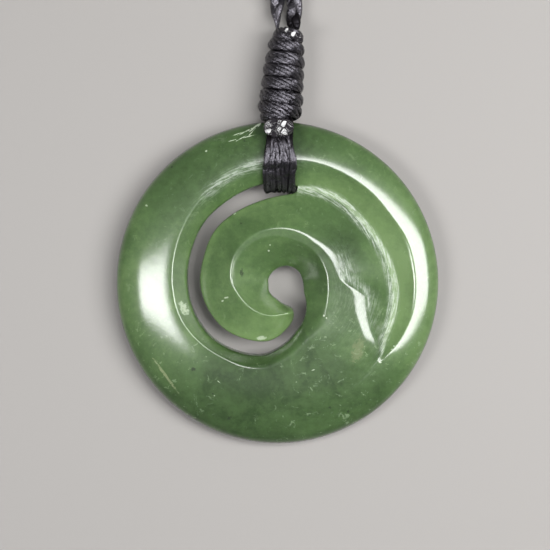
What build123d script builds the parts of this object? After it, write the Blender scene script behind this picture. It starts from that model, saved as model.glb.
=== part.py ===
from build123d import *
import math
import os

# Koru pendant: a carved greenstone disc, face up, tied to a plaited neck cord of waxed thread.
# Millimetres, +Z up. The origin is on the surface that it lies on, under the stone's centre.
# +Y runs from the stone up to the neck cord, and +X is to the wearer's left, the viewer's right.

# Driving dimensions of the stone
stone_diameter = 40.0
stone_thickness = 6.0
rim_height = 2.3  # height of the outermost line of the rim above the back
back_edge_width = 2.0  # width of the rounding between the rim and the flat back
channel_depth = 2.35  # how far the channel's bottom lies below the dome, where the slot starts

# Driving dimensions of the cord
front_leg_thickness = 0.85
back_leg_thickness = 0.6
leg_width = 4.0
leg_clearance = 0.14
thread_pitch = 1.58
thread_width = 1.46
thread_thickness = 1.0
binding_length = 11.4
binding_diameter = 5.75
binding_lean_deg = 2.8
binding_offset = 0.55  # how far right of the stone's centre line the binding starts
binding_gap = 0.15  # from the rim to the first turn of thread
thread_start_deg = -134.0  # where the thread starts, counted round from the binding's top
knot_width = 3.6
knot_length = 2.2
knot_height = 1.5
tail_width = 2.2
tail_length = 1.2
tail_height = 0.6
tail_offset = 0.75  # how far right of the binding's axis the tail lies
plait_diameter = 2.0
plait_spacing = 2.1  # centre to centre where both ends leave the binding
plait_gap = 0.1
plait_lead = 7.0  # how far both ends run on before they lie down
plait_lead_height = 1.6  # height of their middle there

# Fineness of the faceted solids
turn_step_deg = 5.0
leg_sides = 12
stations_per_leg_run = 3
thread_sides = 8
thread_steps_per_turn = 22
lump_sides = 12

stone_radius = stone_diameter / 2

# The outlines carved in the stone: angles in degrees, counterclockwise from +X, and distances
# from the stone's centre as shares of its radius.

# edge of the eye, which is the slot's outer edge where the slot comes in below it
# angle, edge
EYE_EDGE = [
    (-60, 0.297),
    (-50, 0.266),
    (-40, 0.235),
    (-30, 0.202),
    (-20, 0.176),
    (0, 0.159),
    (30, 0.147),
    (60, 0.120),
    (80, 0.099),
    (100, 0.082),
    (130, 0.067),
    (165, 0.060),
    (195, 0.057),
    (220, 0.071),
    (250, 0.089),
    (270, 0.107),
    (285, 0.136),
    (300, 0.168),
]

# the slot from its closed end to the scroll's tip
# angle, inner edge, outer edge
SLOT = [
    (78, 0.567, 0.615),
    (90, 0.538, 0.623),
    (105, 0.517, 0.613),
    (120, 0.510, 0.598),
    (140, 0.507, 0.590),
    (160, 0.486, 0.571),
    (180, 0.480, 0.560),
    (200, 0.461, 0.549),
    (220, 0.437, 0.530),
    (240, 0.401, 0.494),
    (260, 0.367, 0.453),
    (270, 0.335, 0.410),
    (280, 0.295, 0.370),
    (290, 0.258, 0.328),
    (300, 0.216, 0.297),
]

# crest of the outer band, where the dome breaks into the channel
# angle, crest
BAND_CREST = [
    (-60, 0.802),
    (-37, 0.803),
    (-24, 0.835),
    (-12, 0.850),
    (10, 0.844),
    (20, 0.834),
    (30, 0.811),
    (45, 0.799),
    (60, 0.785),
    (75, 0.769),
    (90, 0.747),
    (105, 0.733),
    (120, 0.713),
    (135, 0.692),
    (160, 0.662),
    (180, 0.645),
    (200, 0.630),
    (216, 0.598),
    (234, 0.562),
    (244, 0.548),
    (260, 0.515),
    (275, 0.450),
    (288, 0.400),
    (300, 0.360),
]

# bottom of the channel, which runs out to a point at its lower end
# angle, inner edge, outer edge
VALLEY = [
    (-60, 0.774, 0.790),
    (-37, 0.775, 0.792),
    (-28, 0.715, 0.766),
    (-20, 0.702, 0.760),
    (-10, 0.696, 0.757),
    (0, 0.682, 0.744),
    (10, 0.662, 0.720),
    (20, 0.642, 0.697),
    (30, 0.622, 0.680),
    (40, 0.608, 0.667),
    (50, 0.604, 0.667),
    (60, 0.594, 0.658),
    (70, 0.580, 0.638),
    (78, 0.567, 0.615),
]

# crest of the scroll and the inner edge of the bevel inside it
# angle, crest, bevel edge
SCROLL_CREST = [
    (-60, 0.772, 0.360),
    (-37, 0.772, 0.345),
    (-33, 0.745, 0.338),
    (-29, 0.702, 0.332),
    (-25, 0.652, 0.328),
    (-20, 0.604, 0.322),
    (-14, 0.575, 0.316),
    (-8, 0.556, 0.312),
    (-4, 0.520, 0.310),
    (0, 0.467, 0.308),
    (4, 0.432, 0.307),
    (9, 0.412, 0.306),
    (20, 0.408, 0.302),
    (31, 0.408, 0.299),
    (42, 0.388, 0.296),
    (51, 0.372, 0.292),
    (67, 0.360, 0.285),
    (90, 0.350, 0.287),
    (106, 0.345, 0.290),
    (125, 0.334, 0.290),
    (145, 0.322, 0.287),
    (165, 0.300, 0.280),
    (180, 0.284, 0.270),
    (195, 0.260, 0.246),
    (212, 0.240, 0.227),
    (233, 0.223, 0.211),
    (257, 0.209, 0.199),
    (282, 0.198, 0.188),
    (300, 0.205, 0.190),
]

# how deep the channel is, and how far the foot of its inner side stands above its bottom,
# both as shares of its depth where the slot starts
# angle, depth, foot
CHANNEL_DEPTH = [
    (-60, 0.000, 0.000),
    (-38, 0.000, 0.000),
    (-34, 0.149, 0.004),
    (-28, 0.383, 0.031),
    (-20, 0.617, 0.055),
    (-10, 0.787, 0.072),
    (0, 0.894, 0.077),
    (20, 0.979, 0.064),
    (45, 1.000, 0.047),
    (78, 1.000, 0.026),
]

# Heights, falls and softnesses from here on are shares of the stone's thickness.

# height of the eye's edge; how far the scroll is levelled inside its crest, at what height, and
# how far it falls from there in to the bevel's edge
# angle, eye edge, levelled, level, fall
SCROLL_LEVEL = [
    (-60, 0.767, 0.00, 0.9600, 0.0233),
    (-50, 0.725, 0.30, 0.9583, 0.0267),
    (-40, 0.658, 0.80, 0.9550, 0.0300),
    (-30, 0.583, 1.00, 0.9533, 0.0333),
    (-20, 0.525, 1.00, 0.9517, 0.0333),
    (-10, 0.483, 1.00, 0.9483, 0.0333),
    (0, 0.458, 1.00, 0.9467, 0.0300),
    (20, 0.442, 1.00, 0.9450, 0.0300),
    (60, 0.433, 1.00, 0.9467, 0.0300),
    (90, 0.433, 1.00, 0.9433, 0.0267),
    (150, 0.433, 1.00, 0.9250, 0.0133),
    (200, 0.442, 1.00, 0.8950, 0.0067),
    (250, 0.483, 1.00, 0.8500, 0.0050),
    (300, 0.533, 1.00, 0.7967, 0.0050),
]

# rounding on the inner side of the scroll's crest: its width as a share of the radius, and its
# drop; softness of the crest and of the bevel's edge
# angle, width, drop, crest softness, bevel softness
CREST_ROUNDING = [
    (-60, 0.200, 0.1583, 0.000, 0.150),
    (-45, 0.200, 0.1583, 0.000, 0.117),
    (-38, 0.200, 0.1583, 0.000, 0.083),
    (-33, 0.150, 0.1333, 0.008, 0.058),
    (-29, 0.125, 0.1100, 0.017, 0.042),
    (-24, 0.105, 0.0900, 0.020, 0.030),
    (-18, 0.098, 0.0767, 0.023, 0.025),
    (-8, 0.092, 0.0667, 0.042, 0.020),
    (0, 0.060, 0.0400, 0.050, 0.020),
    (8, 0.042, 0.0233, 0.042, 0.020),
    (20, 0.050, 0.0300, 0.027, 0.020),
    (31, 0.060, 0.0367, 0.020, 0.020),
    (45, 0.045, 0.0233, 0.020, 0.020),
    (65, 0.025, 0.0083, 0.020, 0.020),
    (100, 0.015, 0.0033, 0.020, 0.020),
    (200, 0.010, 0.0000, 0.013, 0.013),
    (300, 0.005, 0.0000, 0.013, 0.013),
]

# height of the slot's two edges
# angle, inner edge, outer edge
SLOT_HEIGHT = [
    (78, 0.517, 0.500),
    (140, 0.517, 0.517),
    (200, 0.525, 0.567),
    (250, 0.533, 0.650),
    (300, 0.533, 0.767),
]

# height of the band's crest above the rim as a share of the dome's there, how far the band is
# levelled outside its crest, and the crest's softness
# angle, rise, levelled, softness
BAND_SHAPE = [
    (-60, 1.00, 0.00, 0.000),
    (-52, 1.00, 0.00, 0.000),
    (-40, 1.00, 0.18, 0.000),
    (-34, 0.98, 0.40, 0.007),
    (-26, 0.93, 0.75, 0.017),
    (-14, 0.87, 1.00, 0.020),
    (0, 0.84, 1.00, 0.020),
    (30, 0.86, 1.00, 0.023),
    (60, 0.92, 1.00, 0.027),
    (100, 0.98, 1.00, 0.027),
    (160, 1.00, 1.00, 0.017),
    (238, 1.00, 1.00, 0.020),
    (262, 1.00, 0.50, 0.075),
    (285, 1.00, 0.00, 0.133),
    (300, 1.00, 0.00, 0.150),
]

slot_end_deg = 78.0
scroll_tip_deg = 300.0
slot_end_round_deg = 2.4  # angle that the slot's rounded closed end takes
tip_round_deg = 8.0  # angle that the scroll's rounded tip takes
tip_fade_deg = 12.8  # angle over which the scroll sinks to its tip
tip_height_share = 0.5  # height of the tip's edge
side_bulge_share = 0.10  # how far the scroll's side bulges, as a share of its height
bowl_bulge_share = 0.033  # how far the bowl round the eye bulges
hollow_depth_share = 0.083  # depth from which the channel's bottom is fully hollow


def read_table(table, angle):
    """The table's columns at an angle, on a smooth curve through its rows."""
    rows = table
    if angle <= rows[0][0]:
        return rows[0][1:]
    if angle >= rows[-1][0]:
        return rows[-1][1:]
    i = max(k for k in range(len(rows) - 1) if rows[k][0] <= angle)
    before = rows[max(i - 1, 0)]
    start = rows[i]
    end = rows[i + 1]
    after = rows[min(i + 2, len(rows) - 1)]
    span = end[0] - start[0]
    t = (angle - start[0]) / span
    values = []
    for column in range(1, len(start)):
        slope_in = (end[column] - before[column]) / max(end[0] - before[0], 1e-9) * span
        slope_out = (after[column] - start[column]) / max(after[0] - start[0], 1e-9) * span
        values.append(
            (2 * t**3 - 3 * t**2 + 1) * start[column]
            + (t**3 - 2 * t**2 + t) * slope_in
            + (-2 * t**3 + 3 * t**2) * end[column]
            + (t**3 - t**2) * slope_out
        )
    return tuple(values)


def dome_height(share):
    """Height of the uncut front above the back, at a share of the radius."""
    return rim_height + (stone_thickness - rim_height) * (1 - share**2.4) ** (1 / 1.9)


def back_height(share):
    """Height of the back: flat, then rounded up to the rim."""
    flat = 1 - back_edge_width / stone_radius
    if share <= flat:
        return 0.0
    t = (share - flat) / (1 - flat)
    return rim_height * (1 - math.sqrt(max(0.0, 1 - t * t)))


def eased(t):
    """A share that leaves 0 and reaches 1 without a corner."""
    t = min(1.0, max(0.0, t))
    return t * t * (3 - 2 * t)


def soft_min(a, b, softness):
    """The lower of two heights, the corner between them rounded within the softness."""
    near = max(0.0, 1 - abs(a - b) / max(softness, 1e-6))
    return min(a, b) - near**2 * softness / 4


def scroll_height(angle, share, foot, foot_height):
    """Height inside the foot of the scroll's side: the lowest of the bowl round the eye, the cap
    from the bevel to the crest, and the side, which falls from the crest to its foot."""
    eye = read_table(EYE_EDGE, angle)[0]
    crest, bevel = read_table(SCROLL_CREST, angle)
    low, levelled, level, fall = read_table(SCROLL_LEVEL, angle)
    width, drop, crest_softness, bevel_softness = read_table(CREST_ROUNDING, angle)
    levelled = eased(levelled)

    def levelled_off(height, dome):
        return dome + (height * stone_thickness - dome) * levelled

    over = min(1.0, max(0.0, (share - crest) / width + 1))
    inward = min(1.0, max(0.0, (crest - width - share) / (crest - width - bevel)))
    cap = levelled_off(level - fall * inward - drop * over**2, dome_height(share))
    top = levelled_off(level - drop, dome_height(crest))
    down = (share - crest) / (foot - crest)
    side = top + (foot_height - top) * down
    side += side_bulge_share * (top - foot_height) * max(0.0, down * (1 - down))
    across = (share - eye) / (bevel - eye)
    edge = low * stone_thickness
    bowl = edge + (levelled_off(level - fall, dome_height(bevel)) - edge) * across
    bowl += bowl_bulge_share * stone_thickness * levelled * max(0.0, across * (1 - across))
    height = soft_min(cap, side, crest_softness * stone_thickness)
    return soft_min(height, bowl, bevel_softness * stone_thickness)


def band_height(angle, share, foot, foot_height):
    """Height outside the foot of the band's wall: the lower of that wall and the band, level at
    its crest and rounded down to the rim."""
    if share >= 1:
        return rim_height
    crest = read_table(BAND_CREST, angle)[0]
    rise, levelled, softness = read_table(BAND_SHAPE, angle)
    levelled = eased(levelled)
    top = rim_height + (dome_height(crest) - rim_height) * (1 - (1 - rise) * levelled)
    outward = max(0.0, (share - crest) / (1 - crest))
    level = rim_height + (top - rim_height) * (1 - outward**1.55) ** (1 / 1.9)
    dome = dome_height(share)
    wall = foot_height + (top - foot_height) * (share - foot) / (crest - foot)
    return soft_min(dome + (level - dome) * levelled, wall, softness * stone_thickness)


def spread(start, end, widest):
    """Shares of the radius from start to end, both left out, no further apart than widest."""
    count = max(1, math.ceil(abs(end - start) / widest))
    return [start + (end - start) * k / count for k in range(1, count)]


def inner_shares(angle, edge):
    """Shares of the radius from the eye's edge to the scroll's crest."""
    crest, bevel = read_table(SCROLL_CREST, angle)
    shares = [edge + (bevel - edge) * fraction for fraction in (0.0, 0.35, 0.7)]
    return shares + [bevel + (crest - bevel) * fraction for fraction in (0.0, 0.3, 0.6, 0.85, 1.0)]


def side_shares(angle, foot):
    """Shares of the radius down the scroll's outer side, from below its crest to its foot."""
    crest = read_table(SCROLL_CREST, angle)[0]
    return [crest + (foot - crest) * fraction for fraction in (0.25, 0.5, 0.75, 1.0)]


def outer_shares(angle, foot):
    """Shares of the radius from above the foot of the band's wall to the rim."""
    crest = read_table(BAND_CREST, angle)[0]
    shares = [foot + (crest - foot) * fraction for fraction in (0.33, 0.67, 1.0)]
    return shares + spread(crest, 0.93, 0.062) + [0.93, 0.985, 1.0]


def whole_column(angle):
    """Two lines of front points, from the eye to the channel's middle and on to the rim."""
    edge = read_table(EYE_EDGE, angle)[0]
    inner, outer = read_table(VALLEY, angle)
    depth, foot = read_table(CHANNEL_DEPTH, angle)
    depth = max(0.0, depth) * channel_depth
    inner_foot = dome_height(inner) - depth + max(0.0, foot) * channel_depth
    bottom = dome_height(outer) - depth
    hollow = 1 + min(1.0, depth / (hollow_depth_share * stone_thickness))
    middle = ((inner + outer) / 2, bottom + (inner_foot - bottom) * 0.5**hollow)
    inside = [(share, scroll_height(angle, share, inner, inner_foot))
              for share in inner_shares(angle, edge) + side_shares(angle, inner)]
    outside = [(share, band_height(angle, share, outer, bottom))
               for share in [outer] + outer_shares(angle, outer)]
    return inside + [middle], [middle] + outside


def slot_edges(angle):
    """Inner and outer edge of the slot, drawn together to a round end where it closes."""
    inner, outer = read_table(SLOT, angle)
    middle = (inner + outer) / 2
    t = min(1.0, (angle - slot_end_deg) / slot_end_round_deg)
    half = (outer - inner) / 2 * math.sqrt(1 - (1 - t) ** 2)
    return middle - half, middle + half


def scroll_edges(angle):
    """Eye edge and slot edge of the scroll, drawn together to its round tip."""
    eye = read_table(EYE_EDGE, angle)[0]
    slot = slot_edges(angle)[0]
    middle = (eye + slot) / 2
    t = min(1.0, (scroll_tip_deg - angle) / tip_round_deg)
    half = (slot - eye) / 2 * math.sqrt(1 - (1 - t) ** 2)
    return middle - half, middle + half


def scroll_column(angle):
    """Front points across the scroll, from the eye to the slot's inner edge."""
    eye, slot = scroll_edges(angle)
    foot = read_table(SLOT, angle)[0]
    foot_height = read_table(SLOT_HEIGHT, angle)[0] * stone_thickness
    sunk = min(1.0, (scroll_tip_deg - angle) / tip_fade_deg)
    sunk = math.sqrt(1 - (1 - sunk) ** 2)
    low = tip_height_share * stone_thickness
    points = []
    for share in inner_shares(angle, eye) + side_shares(angle, foot):
        share = min(max(share, eye), slot)
        height = scroll_height(angle, share, foot, foot_height)
        points.append((share, low + (height - low) * sunk))
    return points


def band_column(angle):
    """Front points across the outer band, from the slot's outer edge to the rim."""
    foot = read_table(SLOT, angle)[1]
    foot_height = read_table(SLOT_HEIGHT, angle)[1] * stone_thickness
    return [(share, band_height(angle, share, foot, foot_height))
            for share in [slot_edges(angle)[1], foot] + outer_shares(angle, foot)]


def in_space(angle, share, height):
    """A point of the stone in millimetres, before it is tilted."""
    turn = math.radians(angle)
    radius = share * stone_radius
    return (radius * math.cos(turn), radius * math.sin(turn), height)


def triangle(a, b, c):
    """A flat face on three corners, or none where two of them meet."""
    if min(math.dist(a, b), math.dist(b, c), math.dist(c, a)) < 1e-4:
        return []
    ab = [q - p for p, q in zip(a, b)]
    ac = [q - p for p, q in zip(a, c)]
    cross = math.hypot(
        ab[1] * ac[2] - ab[2] * ac[1], ab[2] * ac[0] - ab[0] * ac[2], ab[0] * ac[1] - ab[1] * ac[0]
    )
    if cross < 1e-7:
        return []
    return [Face(Wire.make_polygon([a, b, c]))]


def zip_lines(left, right):
    """Triangles between two lines of points that may hold different numbers of points."""
    def along(line):
        total = [0.0]
        for p, q in zip(line, line[1:]):
            total.append(total[-1] + math.dist(p, q))
        length = max(total[-1], 1e-9)
        return [value / length for value in total]

    left_at = along(left)
    right_at = along(right)
    faces = []
    i = 0
    j = 0
    while i < len(left) - 1 or j < len(right) - 1:
        left_next = left_at[i + 1] if i < len(left) - 1 else 2.0
        right_next = right_at[j + 1] if j < len(right) - 1 else 2.0
        if left_next <= right_next:
            faces += triangle(left[i], left[i + 1], right[j])
            i += 1
        else:
            faces += triangle(left[i], right[j + 1], right[j])
            j += 1
    return faces


def match_lines(left, right):
    """Triangles between two lines with as many points each, joined one to one."""
    faces = []
    for i in range(len(left) - 1):
        faces += triangle(left[i], left[i + 1], right[i])
        faces += triangle(right[i], left[i + 1], right[i + 1])
    return faces


def steps(start, end):
    """Angles from start to end, about turn_step_deg apart, both ends included."""
    count = max(1, round((end - start) / turn_step_deg))
    return [start + (end - start) * i / count for i in range(count + 1)]


def rim_column(angle):
    """Points from the rim round to the flat back."""
    flat = 1 - back_edge_width / stone_radius
    points = [(1.0, rim_height)]
    for fraction in (0.92, 0.7, 0.38):
        share = flat + (1 - flat) * fraction
        points.append((share, back_height(share)))
    points.append((flat, 0.0))
    return [in_space(angle, share, height) for share, height in points]


def make_stone():
    """The disc as one closed faceted solid, its back flat at height 0 and its centre at 0, 0."""
    closed_end = [slot_end_deg + slot_end_round_deg * t for t in (0.04, 0.2, 0.5)]
    round_tip = [scroll_tip_deg - tip_round_deg * t for t in (0.75, 0.5, 0.25, 0.08)]
    whole_angles = steps(scroll_tip_deg - 360, slot_end_deg)
    middle_angles = steps(slot_end_deg + slot_end_round_deg, scroll_tip_deg - tip_round_deg)
    split_angles = closed_end + middle_angles + round_tip

    inside = []
    outside = []
    for angle in whole_angles:
        inner_line, outer_line = whole_column(angle)
        inside.append([in_space(angle, share, height) for share, height in inner_line])
        outside.append([in_space(angle, share, height) for share, height in outer_line])
    scroll = [inside[-1]]
    band = [outside[-1]]
    for angle in split_angles:
        scroll.append([in_space(angle, s, h) for s, h in scroll_column(angle)])
        band.append([in_space(angle, s, h) for s, h in band_column(angle)])
    tip_share = sum(scroll_edges(scroll_tip_deg)) / 2
    scroll.append([in_space(scroll_tip_deg, tip_share, tip_height_share * stone_thickness)])
    band.append(inside[0] + outside[0][1:])

    faces = []
    for strip in (inside, outside, scroll, band):
        for left, right in zip(strip, strip[1:]):
            joined = match_lines if len(left) == len(right) else zip_lines
            faces += joined(left, right)

    # the rounded rim and the edge of the back, all the way round
    all_angles = whole_angles + split_angles + [scroll_tip_deg]
    rims = [rim_column(angle) for angle in all_angles]
    rims[-1] = rims[0]
    tops = outside + band[1:]
    for k in range(len(rims) - 1):
        left = [tops[k][-1]] + rims[k]
        right = [tops[k + 1][-1]] + rims[k + 1]
        faces += match_lines(left, right)

    # the upright walls of the eye and the slot, down to the flat back
    hole = [column[0] for column in inside]
    hole += [column[0] for column in scroll[1:]]
    hole += [column[-1] for column in reversed(scroll[:-1])]
    hole += [column[0] for column in band[1:-1]]
    feet = [(x, y, 0.0) for x, y, z in hole]
    ring = list(range(len(hole))) + [0]
    for a, b in zip(ring, ring[1:]):
        faces += triangle(hole[a], hole[b], feet[a])
        faces += triangle(feet[a], hole[b], feet[b])
    edge = [rim[-1] for rim in rims[:-1]]
    faces.append(Face(Wire.make_polygon(edge), [Wire.make_polygon(feet)]))
    return Solid(Shell(faces))


def skin(rings):
    """A closed faceted solid through rings of as many points each, its ends capped flat."""
    faces = []
    for left, right in zip(rings, rings[1:]):
        faces += match_lines(left + left[:1], right + right[:1])
    for ring in (rings[0], rings[-1]):
        middle = tuple(sum(p[k] for p in ring) / len(ring) for k in range(3))
        for p, q in zip(ring, ring[1:] + ring[:1]):
            faces += triangle(middle, p, q)
    return Solid(Shell(faces))


# How the stone lies: on the lower edge of its flat back and on the strands under its top
flat_radius = stone_radius - back_edge_width
loop_angle_deg = 89.0
loop_offset_share = 0.8  # of the binding's own offset
slot_inner, slot_outer = read_table(SLOT, loop_angle_deg)
slot_y = stone_radius * (slot_inner + slot_outer) / 2
slot_height = read_table(SLOT_HEIGHT, loop_angle_deg)[1] * stone_thickness
under_leg = back_leg_thickness + 2 * leg_clearance
tilt_deg = math.degrees(math.asin(under_leg / (slot_y + flat_radius)))
lift = flat_radius * math.sin(math.radians(tilt_deg))


def lay(y, z):
    """Where a point of the untilted stone's middle section comes to lie."""
    turn = math.radians(tilt_deg)
    return (y * math.cos(turn) - z * math.sin(turn), y * math.sin(turn) + z * math.cos(turn) + lift)


stone = Location((0, 0, lift)) * Rot(tilt_deg, 0, 0) * make_stone()

# The binding's axis runs level, just above the surface, leaning a little to the right
binding_start = lay(stone_radius, rim_height)[0] + binding_gap
binding_z = binding_diameter / 2 + 0.02
binding_lean = math.tan(math.radians(binding_lean_deg))

# outer radius of the binding along its length, as a share of the largest
# share of the length, share of the radius
BARREL = [
    (0.0, 0.84),
    (0.1, 1.0),
    (0.35, 0.98),
    (0.6, 0.94),
    (0.8, 0.88),
    (1.0, 0.74),
]


def barrel_radius(y):
    """Outer radius of the binding at a distance along Y."""
    share = min(1.0, max(0.0, (y - binding_start) / binding_length))
    return read_table(BARREL, share)[0] * binding_diameter / 2


def axis_x(y):
    """Place of the binding's axis along X at a distance along Y."""
    return binding_offset + (y - binding_start) * binding_lean


def ring_across(centre, along, half_width, half_thickness, sides):
    """An oval ring round a point, its width along X and its thickness across the way it runs."""
    length = math.hypot(*along)
    up = (0.0, -along[1] / length, along[0] / length)
    ring = []
    for k in range(sides):
        turn = 2 * math.pi * k / sides
        across = half_width * math.cos(turn)
        out = half_thickness * math.sin(turn)
        ring.append((centre[0] + across, centre[1] + out * up[1], centre[2] + out * up[2]))
    return ring


def loop_path():
    """Stations (y, z, half width, half thickness) of the doubled bundle: down through the
    binding, over the stone, through its slot and back."""
    top_y = binding_start + binding_length + 0.15
    bore_end = barrel_radius(top_y) - thread_thickness
    bore_start = barrel_radius(binding_start + 2) - thread_thickness
    crest = read_table(BAND_CREST, loop_angle_deg)[0]
    crest_y, crest_z = lay(stone_radius * crest, dome_height(crest))
    rim_y, rim_z = lay(stone_radius * 0.95, dome_height(0.95))
    wall_y, wall_z = lay(stone_radius * slot_outer, slot_height)
    half = front_leg_thickness / 2
    clear = half + leg_clearance
    under = back_leg_thickness / 2 + 0.02
    through_y = lay(slot_y, slot_height / 2)[0]
    # y, z, half width, half thickness
    route = [
        (top_y, binding_z + 0.44 * bore_end, 0.8 * bore_end, 0.4 * bore_end),
        (binding_start + 2, binding_z + 0.44 * bore_start, 0.8 * bore_start, 0.4 * bore_start),
        (binding_start + 0.7, binding_z + 0.9, 1.25, half),
        (rim_y + 0.95, rim_z + clear - 0.45, 1.4, half),
        (rim_y + 0.15, rim_z + clear + 0.45, 1.5, half),
        (rim_y - 1.0, rim_z + clear + 1.1, 1.6, half),
        (crest_y + 1.9, crest_z + clear + 0.07, 1.75, half),
        (crest_y + 0.5, crest_z + clear + 0.12, 0.48 * leg_width, half),
        (crest_y - 0.1, crest_z + clear + 0.02, 0.5 * leg_width, half),
        (crest_y - 0.7, crest_z + clear - 0.42, 0.52 * leg_width, half),
        ((crest_y + wall_y) / 2 - 0.35, (crest_z + wall_z) / 2 + clear, 0.51 * leg_width, half),
        (through_y - 0.1, wall_z - 0.1, 0.95 * leg_width / 2, half),
        (through_y, wall_z / 2 + under, 0.9 * leg_width / 2, half),
        (through_y + 0.15, under + 0.75, 0.9 * leg_width / 2, half * 0.9),
        (through_y + 0.9, under + 0.05, 0.95 * leg_width / 2, back_leg_thickness / 2),
        ((through_y + stone_radius) / 2, under, leg_width / 2, back_leg_thickness / 2),
        (stone_radius - 1.6, under, 0.47 * leg_width, back_leg_thickness / 2),
        (stone_radius - 0.3, under + 0.45, 1.7, 0.36),
        (binding_start + 0.75, binding_z - 0.95, 1.25, 0.42),
        (binding_start + 2, binding_z - 0.44 * bore_start, 0.8 * bore_start, 0.4 * bore_start),
        (top_y, binding_z - 0.44 * bore_end, 0.8 * bore_end, 0.4 * bore_end),
    ]
    numbered = [(k,) + row for k, row in enumerate(route)]
    places = (len(route) - 1) * stations_per_leg_run + 1
    return [read_table(numbered, k / stations_per_leg_run) for k in range(places)]


def make_strand_loop(path):
    """The doubled bundle as one solid of flat oval rings."""
    rings = []
    for k, (y, z, half_width, half_thickness) in enumerate(path):
        before = path[max(k - 1, 0)]
        after = path[min(k + 1, len(path) - 1)]
        along = (after[0] - before[0], after[1] - before[1])
        x = binding_offset * loop_offset_share + max(0.0, axis_x(y) - binding_offset)
        rings.append(ring_across((x, y, z), along, half_width, half_thickness, leg_sides))
    return skin(rings)


def make_binding():
    """The thread: a flat oval section wound in a helix on the barrel's shape."""
    first = binding_start + thread_width / 2
    last = binding_start + binding_length - thread_width / 2
    turns = (last - first) / thread_pitch
    count = round(turns * thread_steps_per_turn)
    rings = []
    for k in range(count + 1):
        turn = math.radians(thread_start_deg) + 2 * math.pi * turns * k / count
        y = first + (last - first) * k / count
        middle = barrel_radius(y) - thread_thickness / 2
        ring = []
        for side in range(thread_sides):
            a = 2 * math.pi * side / thread_sides
            out = middle + thread_thickness / 2 * math.cos(a)
            along = thread_width / 2 * math.sin(a)
            ring.append((axis_x(y) - out * math.sin(turn), y + along, binding_z + out * math.cos(turn)))
        rings.append(ring)
    return skin(rings)


def lump(centre, half_sizes, rounds):
    """A closed rounded lump: rings of an ellipsoid with blunt ends, stacked along Z."""
    rings = []
    for share in rounds:
        size = (1 - abs(share) ** 2.5) ** (1 / 2.5)
        ring = []
        for k in range(lump_sides):
            turn = 2 * math.pi * k / lump_sides
            ring.append(
                (
                    centre[0] + half_sizes[0] * size * math.cos(turn),
                    centre[1] + half_sizes[1] * size * math.sin(turn),
                    centre[2] + half_sizes[2] * share,
                )
            )
        rings.append(ring)
    return skin(rings)


bundle_path = loop_path()
strand_loop = make_strand_loop(bundle_path)
binding = make_binding()

# The sealed knot sits on the front leg at the stone's rim
knot_y = lay(stone_radius * 0.945, 0)[0]
front_leg = bundle_path[: len(bundle_path) // 2]
under_knot = [leg for leg in front_leg if abs(leg[0] - knot_y) < 0.35 * knot_length]
seat = max(leg[1] + leg[3] for leg in under_knot)
knot_z = seat + leg_clearance + knot_height / 2
knot_half = (knot_width / 2, knot_length / 2, knot_height / 2)
knot = lump((binding_offset * 0.4, knot_y, knot_z), knot_half, (-0.96, -0.8, -0.4, 0.0, 0.4, 0.8, 0.96))

# The melted end of the thread lies on the last turn
tail_y = binding_start + binding_length - thread_width * 0.6
tail_half = (tail_width / 2, tail_length / 2, tail_height / 2)
tail_seat = math.sqrt(barrel_radius(tail_y) ** 2 - tail_offset**2)
tail_z = binding_z + tail_seat + leg_clearance / 2 + tail_height / 2
tail = lump((axis_x(tail_y) + tail_offset, tail_y, tail_z), tail_half, (-0.95, -0.5, 0.0, 0.5, 0.95))

# The neck plait: out of the binding on the left, round the loop and back in on the right
plait_start_y = binding_start + binding_length + 0.15 + plait_gap
plait_z = plait_diameter / 2 + 0.02
plait_mid_x = axis_x(plait_start_y) - 0.1
left_x = plait_mid_x - plait_spacing / 2
right_x = plait_mid_x + plait_spacing / 2

# x, y and height of the route's points, chosen by hand
plait_route = [
    (left_x, plait_start_y, binding_z - 0.6),
    (left_x - 0.1, plait_start_y + plait_lead, plait_lead_height),
    (left_x - 1.5, 52, plait_z),
    (-10, 78, plait_z),
    (-37, 120, plait_z),
    (-62, 172, plait_z),
    (-66, 230, plait_z),
    (-38, 276, plait_z),
    (6, 289, plait_z),
    (50, 272, plait_z),
    (74, 226, plait_z),
    (68, 168, plait_z),
    (41, 117, plait_z),
    (13, 76, plait_z),
    (right_x + 1.7, 52, plait_z),
    (right_x + 0.1, plait_start_y + plait_lead, plait_lead_height),
    (right_x, plait_start_y, binding_z - 0.6),
]


def make_plait():
    """A round tube along the route: straight runs joined by tangent arcs."""
    points = [Vector(*p) for p in plait_route]
    radii = []
    for before, here, after in zip(points, points[1:], points[2:]):
        turn = (here - before).get_angle(after - here)
        shorter = min((here - before).length, (after - here).length)
        radii.append(0.45 * shorter / math.tan(math.radians(turn) / 2))
    print("plait radii", [round(r, 1) for r in radii])
    path = FilletPolyline(*points, radius=radii)
    section = Plane(origin=path @ 0, z_dir=path % 0) * Circle(plait_diameter / 2)
    tube = sweep(section, path=path)
    expected = path.length * math.pi * plait_diameter**2 / 4
    print("plait length", round(path.length, 1), "volume ratio", round(tube.volume / expected, 4))
    return tube


plait = make_plait()

os.makedirs("parts", exist_ok=True)
export_step(stone, "parts/koru_stone.step")
export_step(strand_loop, "parts/strand_loop.step")
export_step(knot, "parts/sealed_knot.step")
export_step(binding, "parts/binding.step")
export_step(tail, "parts/binding_tail.step")
export_step(plait, "parts/neck_plait.step")
print("tilt", round(tilt_deg, 2), "stone volume", round(stone.volume, 1))
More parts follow.
